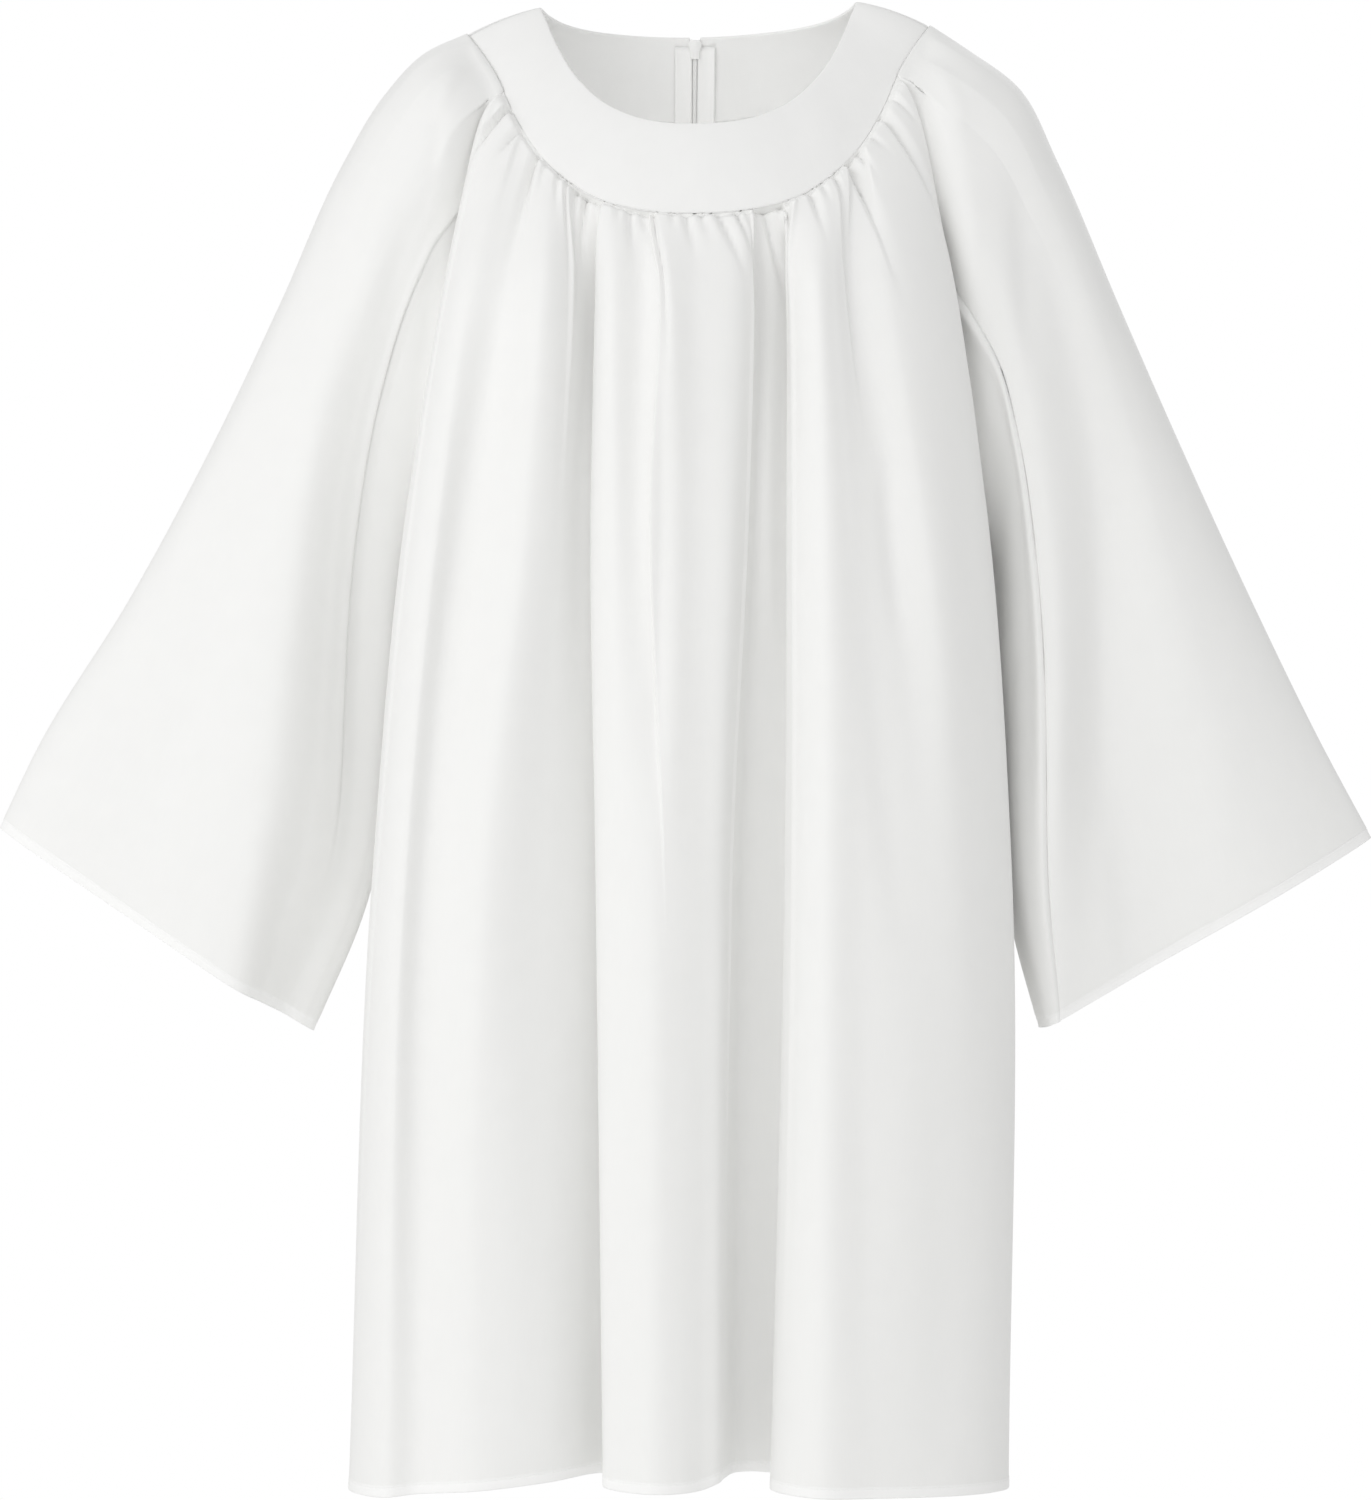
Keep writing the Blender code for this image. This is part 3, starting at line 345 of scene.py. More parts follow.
FRONT_PLEATS = (
    Pleat("left valley", 5.0, 7.9, 6.5, 62),
    Pleat("right valley", 14.05, 17.9, 7.5, 62),
    Pleat("left roll", 2.2, 3.3, 3.0, 40),
    Pleat("right roll", 20.8, 21.9, 3.5, 46),
)

# Gathers of a back half, from the centre back outwards, in shares of the yoke seam.
BACK_GATHERS = tuple(Gather(*row) for row in (
    (0.06, 0, 14, 2.4, 4, 4), (0.12, 1, 26, 3.2, 5, 6), (0.17, 0, 10, 2.0, 4, 4),
    (0.24, 2, 18, 2.8, 5, 5), (0.30, 1, 36, 3.6, 4, 7), (0.36, 0, 12, 2.4, 4, 4),
    (0.42, 0, 54, 3.8, 6, 3), (0.48, 1, 14, 2.4, 4, 5), (0.54, 3, 24, 3.4, 5, 6),
    (0.60, 2, 11, 2.0, 4, 4), (0.66, 4, 30, 3.6, 4, 7), (0.73, 3, 13, 2.4, 4, 4),
    (0.79, 6, 34, 3.8, 4, 7), (0.86, 4, 14, 2.4, 4, 4), (0.92, 7, 28, 3.6, 4, 6),
    (0.97, 4, 12, 2.2, 3, 3),
))

FRONT_CREASES = (
    Crease("left fold soft trough", -122, -205, -150, -470, 6, 1.6, 11),
    Crease("left fold low trough", -160, -520, -180, -860, -5, 1.4, 16),
    Crease("left crest edge", -84, -190, -92, -420, 3, -1.2, 8),
    Crease("left skirt ripple", -132, -640, -128, -940, 4, 1.3, 15),
    Crease("middle second edge", -25, -190, -30, -520, -4, 2.2, 6),
    Crease("middle second lip", -17, -200, -18, -540, -4, -1.2, 7),
    Crease("middle ripple", 4, -420, 6, -900, 3, 1.1, 12),
    Crease("middle right break", 24, -210, 14, -620, -4, 1.4, 7),
    Crease("valley ridge", 46, -185, 44, -420, 2, -3.0, 6),
    Crease("right fold dip", 96, -230, 132, -620, 8, 2.0, 11),
    Crease("right fold crease", 118, -300, 128, -420, 3, 1.8, 6),
    Crease("right fold ripple", 92, -520, 100, -900, -4, 1.0, 16),
    Crease("right side roll", 150, -300, 172, -700, 5, -1.4, 14),
    Crease("right skirt ripple", 150, -700, 152, -945, -4, 1.3, 16),
)

# Creases of both back halves; those of the other half lie out of a half's reach.
BACK_CREASES = (
    Crease("left blade trough", -92, -190, -128, -520, 6, 1.8, 12),
    Crease("left skirt ripple", -150, -560, -160, -930, -5, 1.5, 16),
    Crease("left inner ripple", -34, -300, -38, -820, 4, 1.3, 11),
    Crease("right inner ripple", 24, -260, 26, -760, -4, 1.3, 11),
    Crease("right blade trough", 88, -200, 118, -560, -6, 1.8, 12),
    Crease("right skirt ripple", 134, -600, 146, -935, 5, 1.5, 16),
)

UPPER_OUTLINE = {
    Side.LEFT: ((-178, -33), (-205, -61), (-231, -104), (-271, -193), (-318, -291),
                (-371, -389), (-430, -484), (-456, -538)),
    Side.RIGHT: ((174, -30), (209, -56), (233, -102), (272, -193), (315, -291), (360, -389),
                 (408, -487), (439, -544.5)),
}
LOWER_OUTLINE = {
    Side.LEFT: ((-188, -362), (-199, -450), (-217, -585), (-252, -670)),
    Side.RIGHT: ((190, -362), (195, -450), (205, -600), (223, -667)),
}
SLEEVE_FRONT = {
    Side.LEFT: (
        SleeveFold("seam roll", 0.05, 0.05, 0.035, 0.03, -16, -9, -6, -6),
        SleeveFold("valley", 0.55, 0.31, 0.12, 0.09, -54, -23, -13, -12),
        SleeveFold("rise", 0.75, 0.48, 0.25, 0.15, -62, -41, -32, -30),
        SleeveFold("crest", 0.86, 0.66, 0.41, 0.22, -58, -54, -54, -52),
        SleeveFold("outer", 0.93, 0.85, 0.72, 0.62, -46, -42, -40, -34),
        SleeveFold("arm", 0.97, 0.96, 0.95, 0.94, -26, -25, -20, -14),
    ),
    Side.RIGHT: (
        SleeveFold("seam roll", 0.05, 0.05, 0.03, 0.015, -22, -29, -38, -36),
        SleeveFold("deep strip", 0.30, 0.20, 0.10, 0.03, -51, -47, -50, -40),
        SleeveFold("ridge", 0.62, 0.40, 0.20, 0.06, -66, -60, -58, -40),
        SleeveFold("valley", 0.80, 0.70, 0.41, 0.31, -56, -44, -36, -32),
        SleeveFold("outer", 0.92, 0.88, 0.78, 0.70, -44, -38, -40, -36),
        SleeveFold("arm", 0.97, 0.96, 0.95, 0.94, -26, -24, -20, -14),
    ),
}
SLEEVE_BACK = (
    SleeveFold("seam roll", 0.05, 0.05, 0.04, 0.04, 16, 20, 20, 16),
    SleeveFold("back dip", 0.45, 0.35, 0.30, 0.28, 54, 38, 26, 22),
    SleeveFold("back crest", 0.75, 0.60, 0.52, 0.48, 56, 52, 46, 42),
    SleeveFold("back outer", 0.90, 0.85, 0.78, 0.72, 37, 38, 36, 30),
    SleeveFold("back arm", 0.96, 0.96, 0.95, 0.94, 22, 24, 20, 14),
)
SLEEVE_LEVELS = np.array([0.0, 0.33, 0.67, 1.0])
ARMHOLE_REACH = 0.36
ARMHOLE_START = 0.4
ROLL_REACH = 0.08

SLEEVE_CREASES = {
    Side.LEFT: (
        Crease("shoulder trough", -153, -44, -166, -84, 3, 1.5, 5),
        Crease("shoulder ridge", -163, -64, -170, -130, 2, -1.6, 6),
        Crease("upper arm trough", -196, -110, -214, -250, 5, 1.3, 11),
        Crease("inner roll ridge", -172, -120, -180, -260, -3, -1.6, 8),
        Crease("elbow trough", -262, -300, -300, -470, 6, 1.4, 15),
        Crease("cuff ripple", -330, -480, -352, -600, -4, 1.2, 15),
        Crease("inner cuff ripple", -276, -520, -290, -655, 3, 1.5, 11),
    ),
    Side.RIGHT: (
        Crease("shoulder trough", 150, -42, 170, -90, -3, 1.3, 6),
        Crease("upper arm ridge", 206, -120, 214, -240, 3, -1.4, 8),
        Crease("outer arm trough", 238, -170, 262, -330, -5, 1.2, 14),
        Crease("elbow trough", 276, -330, 312, -500, -6, 1.3, 16),
        Crease("cuff ripple", 330, -470, 352, -600, 5, 1.2, 15),
        Crease("inner cuff ripple", 262, -520, 268, -650, 3, 1.2, 10),
    ),
}
SLEEVE_LEDGES = {
    Side.LEFT: (
        Ledge("inner fold edge", 2.3, 2.3, 2.3, 2.3, 2.4, 0.5, 0.0, 8, 1.6, 12),
    ),
    Side.RIGHT: (
        Ledge("strip edge", 2.5, 2.55, 2.6, 2.6, 3.4, 0.8, 3.6, 15, 0.0, 8),
    ),
}
SLEEVE_BACK_CREASES = {
    Side.LEFT: (
        Crease("back shoulder trough", -160, -50, -180, -120, 3, 1.5, 7),
        Crease("back arm trough", -222, -170, -262, -380, 6, 1.6, 14),
        Crease("back cuff ripple", -318, -430, -346, -600, -5, 1.4, 15),
    ),
    Side.RIGHT: (
        Crease("back shoulder trough", 158, -50, 178, -120, -3, 1.5, 7),
        Crease("back arm trough", 218, -170, 252, -380, -6, 1.6, 14),
        Crease("back cuff ripple", 304, -430, 330, -600, 5, 1.4, 15),
    ),
}


def unit(vectors: Array) -> Array:
    """Vectors scaled to length 1.

    Args:
        vectors: Any array whose last axis holds x, y, z.

    Returns:
        The same array with each vector divided by its length.
    """
    return vectors / np.maximum(np.linalg.norm(vectors, axis=-1, keepdims=True), 1e-9)


def smooth_step(t: Array) -> Array:
    """Ramp 3t^2 - 2t^3 from 0 to 1 with level ends.

    Args:
        t: Position along the ramp; outside 0 to 1 it is held at the end.

    Returns:
        The height of the ramp.
    """
    t = np.clip(t, 0.0, 1.0)
    return t * t * (3 - 2 * t)


def bell(t: Array) -> Array:
    """Bell curve exp(-t^2)."""
    return np.exp(-(t**2))


def run_along(points: Array, axis: int = 0) -> Array:
    """Distance from the first point along one axis, adding up the chords.

    Args:
        points: Array (..., D) of a path or a grid.
        axis: 0 down the rows or along a path, 1 across the columns.

    Returns:
        Array (...) that starts at 0.
    """
    steps = np.diff(points, axis=axis, prepend=np.take(points, [0], axis=axis))
    return np.linalg.norm(steps, axis=-1).cumsum(axis=axis)


def read_along(path: Array, run: Array, at: Array) -> Array:
    """Points (A, D) of a path (N, D) at distances along it."""
    return np.stack([np.interp(at, run, column) for column in path.T], axis=-1)


def spline(points: Array, knots: Array, at: Array, first: Optional[Array] = None) -> Array:
    """Cubic Hermite curve through the points.

    The slope at a knot is the mean of the rates of its two spans, each weighted by the length
    of the other one; at the ends it is the rate of the only span.

    Args:
        points: Array (..., K, D) of values at the knots.
        knots: Array (..., K) of rising knot values.
        at: Fractional knot numbers, 0 to K - 1.
        first: Slope at the first knot, if it isn't that of the first span.

    Returns:
        Array (..., A, D) of the curve at each place.
    """
    gaps = np.diff(knots, axis=-1)[..., None]
    rates = np.diff(points, axis=-2) / gaps
    before, after = gaps[..., :-1, :], gaps[..., 1:, :]
    inner = (after * rates[..., :-1, :] + before * rates[..., 1:, :]) / (before + after)
    slopes = np.concatenate([rates[..., :1, :], inner, rates[..., -1:, :]], axis=-2)
    if first is not None:
        slopes[..., 0, :] = first
    at = np.clip(np.atleast_1d(np.asarray(at, float)), 0, points.shape[-2] - 1)
    i = np.minimum(at.astype(int), points.shape[-2] - 2)
    t = (at - i)[:, None]
    span = (knots[..., i + 1] - knots[..., i])[..., None]
    return ((2 * t**3 - 3 * t**2 + 1) * points[..., i, :]
            + (t**3 - 2 * t**2 + t) * span * slopes[..., i, :]
            + (3 * t**2 - 2 * t**3) * points[..., i + 1, :]
            + (t**3 - t**2) * span * slopes[..., i + 1, :])


def chord_knots(points: Array, power: float = 1.0, least: float = 1e-6) -> Array:
    """Knots that add up each chord's length to a power.

    Args:
        points: Array (..., K, D).
        power: 1 for lengths, 0.5 for the calmer centripetal curve.
        least: Smallest step between two knots.

    Returns:
        Array (..., K) that starts at 0.
    """
    steps = np.linalg.norm(np.diff(points, axis=-2), axis=-1) ** power
    total = np.cumsum(np.maximum(steps, least), axis=-1)
    return np.concatenate([np.zeros_like(total[..., :1]), total], axis=-1)


def back_line(z: Array) -> Array:
    """X of the centre back line at a height.

    Args:
        z: Heights in millimetres, 0 or less.

    Returns:
        X in millimetres, read between the three stated places.
    """
    return np.interp(-np.asarray(z, float), BACK_LINE_Z, BACK_LINE_X)


@dataclass(frozen=True)
class YokeRing:
    """The neck edge and the gathered seam, as curves round the neck."""

    stations: tuple[RingStation, ...] = RING

    def _table(self, first: int, last: int) -> Array:
        """Three columns of the ring, mirrored past both ends."""
        table = np.array(self.stations, float)[:, first:last]
        mirror = table * np.array([-1.0, 1.0, 1.0])
        return np.vstack([mirror[2:0:-1], table, mirror[-2:-4:-1]])

    def point(self, station: Array, edge: Array) -> Array:
        """Points between the neck edge and the seam.

        Each is neck + (seam - neck) * edge, with the neck and the seam read from their
        splines, moved to the centre back line behind the shoulder and tilted with x.

        Args:
            station: Places round the neck, 0 centre front, 13 centre back, below 0 left.
            edge: 0 at the neck edge and 1 at the seam, one value or a column of them.

        Returns:
            Array (N, 3), or (E, N, 3) for a column of E edges, in millimetres.
        """
        station = np.atleast_1d(np.asarray(station, float))
        knots = np.arange(len(self.stations) + 4, dtype=float)
        side = np.ones((len(station), 3))
        side[:, 0] = np.where(station < 0, -1.0, 1.0)
        neck = spline(self._table(0, 3), knots, np.abs(station) + 2) * side
        seam = spline(self._table(3, 6), knots, np.abs(station) + 2) * side
        points = neck + (seam - neck) * np.asarray(edge, float)[..., None, None]
        points = points.reshape(np.shape(edge) + neck.shape)
        behind = np.clip((np.abs(station) - FRONT_STATIONS) / (LAST_STATION - FRONT_STATIONS), 0, 1)
        points[..., 0] += back_line(points[..., 2]) * behind**2
        points[..., 2] += points[..., 0] * HANG_TILT
        return points

    def slope(self, station: Array) -> Array:
        """Slope with which cloth leaves the seam: straight on from the yoke."""
        return unit(self.point(station, 1.0) - self.point(station, 0.0)) * SEAM_STIFFNESS

    def station_of_x(self, x: Array) -> Array:
        """Front stations whose seam lies at x."""
        stations = np.linspace(-FRONT_STATIONS, FRONT_STATIONS, 281)
        return np.interp(x, self.point(stations, 1.0)[:, 0], stations)


RING_CURVE = YokeRing()


def side_edge(side: Side, rows: Array, back: bool) -> Array:
    """Edge of a body panel: raglan seam to the underarm, then side seam.

    Below the bust level the depth follows a quarter ellipse, depth * sqrt(1 - t^2).

    Args:
        side: Side of the robe.
        rows: Levels, 0 at the yoke seam to 4 at the hem.
        back: Whether it is the back panel's edge.

    Returns:
        Array (R, 3) in millimetres.
    """
    seam = SIDES[side]
    station = side.value * (seam.back if back else seam.front)
    top = RING_CURVE.point(station, 1.0)[0]
    depth = ARMHOLE_BACK if back else ARMHOLE_FRONT
    points = np.array([top, (seam.x_bust, depth, Z_BUST), (seam.x_chest, depth, Z_CHEST),
                       (seam.x_waist, 0, Z_WAIST), (seam.x_hem, 0, seam.z_hem)])
    fall = unit(points[1] - top) * SEAM_STIFFNESS
    first = RING_CURVE.slope(station)[0] * (1 - RAGLAN_FALL) + fall * RAGLAN_FALL
    line = spline(points, chord_knots(points), rows, first)
    below = np.clip(rows - 1, 0, 1)
    line[:, 1] = np.where(rows > 1, depth * np.sqrt(1 - below**2), line[:, 1])
    return line


def fold_lines(folds: tuple[Fold, ...], stations: Array, rows: Array) -> Array:
    """Fold lines from the yoke seam to the hem, each a spline down its table row.

    Args:
        folds: The folds, with x in millimetres.
        stations: Their stations on the yoke seam.
        rows: Levels, 0 at the yoke seam to 4 at the hem.

    Returns:
        Array (F, R, 3) in millimetres.
    """
    table = np.array([fold[2:] for fold in folds], float)
    top = RING_CURVE.point(stations, 1.0)
    heights = np.broadcast_to([Z_BUST, Z_CHEST, Z_WAIST], (len(folds), 3))
    z = np.column_stack([heights, table[:, 8]])
    levels = np.stack([table[:, 0:4], table[:, 4:8], z], axis=-1)
    points = np.concatenate([top[:, None], levels], axis=1)
    return spline(points, chord_knots(points), rows, RING_CURVE.slope(stations))


def spread_columns(lines: Array, spacing: float, least: int = 4) -> Array:
    """Column numbers so that no two columns lie much further apart than the spacing.

    Args:
        lines: Fold lines (F, R, 3).
        spacing: Wanted distance between columns in millimetres.
        least: Fewest columns between two folds.

    Returns:
        Fractional fold numbers from 0 to F - 1.
    """
    widths = np.linalg.norm(np.diff(lines, axis=0), axis=2).max(axis=1)
    counts = np.maximum(np.ceil(widths / spacing).astype(int), least)
    steps = np.concatenate([np.full(count, 1.0 / count) for count in counts])
    return np.concatenate([[0.0], np.cumsum(steps)])


def crisp_places(ledges: tuple[Ledge, ...], pleats: tuple[Pleat, ...] = ()) -> list[float]:
    """Fold numbers that crisp edges and the walls of tucks pass through."""
    places = [place for ledge in ledges for place in sorted(set(ledge[1:5]))]
    return places + [place for pleat in pleats for place in pleat[1:3]]


def add_columns(columns: Array, edges: list[float]) -> Array:
    """Columns with closer ones round each crisp edge, none nearer than CLOSEST to the next.

    Args:
        columns: Fractional fold numbers.
        edges: Fold numbers of the edges.

    Returns:
        The fold numbers, rising.
    """
    extra = (np.array(edges)[:, None] + NEAR_EDGE).ravel()
    merged = np.unique(np.concatenate([columns, np.clip(extra, columns[0], columns[-1])]))
    keep = [merged[0]]
    for place in merged[1:-1]:
        if place - keep[-1] > CLOSEST and merged[-1] - place > CLOSEST:
            keep.append(place)
    return np.array([*keep, merged[-1]])


def arc_at(arc: Array, columns: Array, place: Array) -> Array:
    """Distance across each row at a fractional column number.

    Args:
        arc: Array (R, C) of distances along each row.
        columns: The column numbers (C,).
        place: One column number, or one for each row.

    Returns:
        Array (R,) of distances.
    """
    index = np.interp(np.broadcast_to(place, arc.shape[:1]), columns, np.arange(len(columns)))
    low = np.minimum(index.astype(int), len(columns) - 2)
    rows = np.arange(len(arc))
    return arc[rows, low] + (arc[rows, low + 1] - arc[rows, low]) * (index - low)


def ledge_relief(grid: Array, columns: Array, levels: Array, ledges: tuple[Ledge, ...]) -> Array:
    """Height of the crisp fold edges.

    At a distance d from its line an edge adds lift * exp(-(d / LEDGE_LIFT_WIDTH)^2), and
    takes on each side drop * (1 - exp(-(d / LEDGE_ROUND)^2)) * exp(-(d / width)^2), so that
    the cloth falls away at once and comes back slowly. It fades out over the last level.

    Args:
        grid: Points (R, C, 3) in millimetres.
        columns: The column numbers (C,).
        levels: The rows' levels (R,), 0 to 3 or 4.
        ledges: The edges.

    Returns:
        Array (R, C).
    """
    arc = run_along(grid, 1)
    height = np.zeros(arc.shape)
    for ledge in ledges:
        place = np.interp(levels, LEDGE_LEVELS, ledge[1:5])
        away = arc - arc_at(arc, columns, place)[:, None]
        fall = 1 - bell(away / LEDGE_ROUND)
        left = ledge.left * fall * bell(away / ledge.left_width)
        right = ledge.right * fall * bell(away / ledge.right_width)
        fade = smooth_step(levels / LEDGE_START) * (1 - smooth_step(levels - ledge.foot + 1))
        ridge = ledge.lift * bell(away / LEDGE_LIFT_WIDTH)
        height += fade[:, None] * (ridge - np.where(away < 0, left, right))
    return height


def crease_relief(grid: Array, creases: tuple[Crease, ...], seen: Array) -> Array:
    """Height of the soft creases over a sheet.

    A crease is a bell across its line, exp(-(distance / width)^2), that fades to nothing at
    both ends as (4 t (1 - t))^0.7 and bows sideways by bow * 4 t (1 - t).

    Args:
        grid: Points (R, C, 3) in millimetres.
        creases: Their lines in x and z, with depth and width.
        seen: Share of each point that the creases act on (R, C).

    Returns:
        Array (R, C): below 0 in a trough.
    """
    height = np.zeros(grid.shape[:2])
    for crease in creases:
        start = np.array([crease.x0, crease.z0])
        run = np.array([crease.x1, crease.z1]) - start
        length = np.linalg.norm(run)
        away = grid[..., [0, 2]] - start
        t = np.clip(away @ run / length**2, 0, 1)
        across = (away[..., 0] * run[1] - away[..., 1] * run[0]) / length
        hump = 4 * t * (1 - t)
        height -= crease.depth * bell((across - crease.bow * hump) / crease.width) * hump**0.7
    return height * seen


def hem_relief(grid: Array) -> tuple[Array, Array]:
    """Height of a turned hem and the mask of its band, which the cloth material uses to paint the band
    lighter as painted light.

    The band stands HEM_RISE proud over its width, with a round shoulder, a stitch groove
    near its upper side and small puckers between the stitches.

    Args:
        grid: Points (R, C, 3) whose last row is the hem edge.

    Returns:
        The height and the mask, both (R, C).
    """
    down = np.linalg.norm(np.diff(grid, axis=0, append=grid[-1:]), axis=2)
    left = np.cumsum(down[::-1], axis=0)[::-1]
    mask = smooth_step((HEM_BAND - left) / HEM_SHOULDER)
    groove = HEM_GROOVE * bell((left - HEM_BAND + HEM_GROOVE_INSET) / HEM_GROOVE_WIDTH)
    ripple = np.sin(run_along(grid[-1]) * 2 * np.pi / PUCKER_LENGTH)
    pucker = PUCKER * bell((left - HEM_BAND) / PUCKER_REACH) * ripple
    return HEM_RISE * mask - groove + pucker - HEM_EDGE * smooth_step(1 - left), mask


def outward_of(grid: Array, turn: float) -> Array:
    """Unit normals of a sheet: down the rows crossed with along the columns.

    Args:
        grid: Points (R, C, 3).
        turn: 1, or -1 where the columns run the other way round.

    Returns:
        Array (R, C, 3).
    """
    return unit(np.cross(np.gradient(grid, axis=0), np.gradient(grid, axis=1))) * turn


def cut_coordinates(grid: Array, wrap: bool) -> Array:
    """Place on the flat cloth in metres: across at the hem's width, and down the piece.

    Args:
        grid: Points (R, C, 3) in millimetres.
        wrap: Whether the last column joins the first.

    Returns:
        Array (R, C, 2), with one column more where it wraps.
    """
    wide = np.concatenate([grid, grid[:, :1]], axis=1) if wrap else grid
    across = np.linalg.norm(np.diff(wide, axis=1, prepend=wide[:, :1]), axis=2)
    down = run_along(wide).mean(axis=1, keepdims=True)
    return np.stack(np.broadcast_arrays(across.max(axis=0).cumsum(), -down), axis=-1) * MM


def add_object(name: str, points: Array, faces: list[list[int]]) -> bpy.types.Object:
    """Adds a smooth mesh at the origin.

    Args:
        name: Name of the piece.
        points: Array (..., 3) in millimetres.
        faces: Point numbers of each face.

    Returns:
        The object, linked to the scene.
    """
    mesh = bpy.data.meshes.new(name)
    mesh.from_pydata((points.reshape(-1, 3) * MM).tolist(), [], faces)
    mesh.shade_smooth()
    piece = bpy.data.objects.new(name, mesh)
    bpy.context.scene.collection.objects.link(piece)
    return piece


def ring_quads(count: int, sides: int, closed: bool = False) -> Array:
    """Quads of a tube: ring i is joined to ring i + 1 all round.

    Args:
        count: Number of rings.
        sides: Points in a ring.
        closed: Whether the last ring joins the first.

    Returns:
        Array (F, 4) of point numbers.
    """
    i, j = np.meshgrid(np.arange(count if closed else count - 1), np.arange(sides), indexing="ij")
    k, m = (i + 1) % count, (j + 1) % sides
    quads = np.stack([i * sides + j, i * sides + m, k * sides + m, k * sides + j], axis=-1)
    return quads.reshape(-1, 4)


def sheet_mesh(name: str, grid: Array, turn: float, wrap: bool = False,
               mask: Optional[Array] = None) -> bpy.types.Object:
    """Open sheet of quads through a grid, with its cut as UV map and a band mask.

    Args:
        name: Name of the piece.
        grid: Points (R, C, 3) in millimetres.
        turn: 1 if down crossed with across points outwards, else -1.
        wrap: Whether the last column joins the first.
        mask: Value (R, C) kept as the attribute "band", which paints the hem band lighter as painted
            light.

    Returns:
        The object, at the origin, linked to the scene.
    """
    rows, columns = grid.shape[:2]
    wide = columns + 1 if wrap else columns
    r, c = np.meshgrid(np.arange(rows - 1), np.arange(wide - 1), indexing="ij")
    corners = [(r, c), (r + 1, c), (r + 1, c + 1), (r, c + 1)]
    if turn < 0:
        corners = corners[::-1]
    faces = np.stack([a * columns + b % columns for a, b in corners], axis=-1).reshape(-1, 4)
    piece = add_object(name, grid, faces.tolist())
    cut = cut_coordinates(grid, wrap)
    flat = np.stack([cut[a, b] for a, b in corners], axis=2)
    layer = piece.data.uv_layers.new(name="cut")
    layer.data.foreach_set("uv", flat.astype(np.float32).ravel())
    band = piece.data.attributes.new("band", "FLOAT", "POINT")
    values = np.zeros(rows * columns) if mask is None else mask
    band.data.foreach_set("value", np.asarray(values, np.float32).ravel())
    return piece


def loft(name: str, rings: Array, closed: bool = False) -> bpy.types.Object:
    """Tube through rings of points, with a face at both ends unless it is closed.

    Args:
        name: Name of the piece.
        rings: Points (N, M, 3) in millimetres; each ring runs round the tube.
        closed: Whether the last ring joins the first.

    Returns:
        The object, with its faces outwards.
    """
    count, sides = rings.shape[:2]
    faces = ring_quads(count, sides, closed).tolist()
    if not closed:
        faces.append(list(range(sides))[::-1])
        faces.append(list(range((count - 1) * sides, count * sides)))
    piece = add_object(name, rings, faces)
    point_outwards(piece.data)
    return piece


def point_outwards(mesh: bpy.types.Mesh) -> None:
    """Turns a closed mesh's faces outwards if its volume, the sum of a.(b x c) / 6, is below 0.

    Args:
        mesh: A closed mesh.
    """
    mesh.calc_loop_triangles()
    places = np.zeros(len(mesh.vertices) * 3, np.float32)
    mesh.vertices.foreach_get("co", places)
    corners = np.zeros(len(mesh.loop_triangles) * 3, np.int32)
    mesh.loop_triangles.foreach_get("vertices", corners)
    a, b, c = places.reshape(-1, 3)[corners].reshape(-1, 3, 3).swapaxes(0, 1)
    if (a * np.cross(b, c)).sum() < 0:
        mesh.flip_normals()


def add_wall(piece: bpy.types.Object, thickness: float) -> None:
    """Gives an open sheet its thickness, inwards, with rims.

    Args:
        piece: The sheet.
        thickness: Cloth thickness in millimetres.
    """
    wall = piece.modifiers.new("wall", "SOLIDIFY")
    wall.thickness = thickness * MM
    wall.offset = -1.0
    wall.use_even_offset = False
    wall.use_rim = True


def join_pieces(piece: bpy.types.Object, other: bpy.types.Object) -> None:
    """Adds another mesh to a piece and removes its object."""
    with bpy.context.temp_override(active_object=piece, selected_editable_objects=[piece, other]):
        bpy.ops.object.join()


def tube_rings(path: Array, radius: Array, sides: int, across: Array) -> Array:
    """Rings round a path: path + radius * (cos a * across + sin a * upward).

    Args:
        path: Centre points (N, 3).
        radius: Radius at each point (N,) or one number.
        sides: Points in a ring.
        across: A direction (3,) or (N, 3) that isn't along the path.

    Returns:
        Array (N, sides, 3).
    """
    along = unit(np.gradient(path, axis=0))
    up = unit(np.cross(along, np.broadcast_to(across, path.shape)))
    side = unit(np.cross(up, along))
    angle = (np.arange(sides) * 2 * np.pi / sides)[:, None]
    round_it = np.cos(angle) * side[:, None] + np.sin(angle) * up[:, None]
    return path[:, None] + np.broadcast_to(radius, path.shape[:1])[:, None, None] * round_it


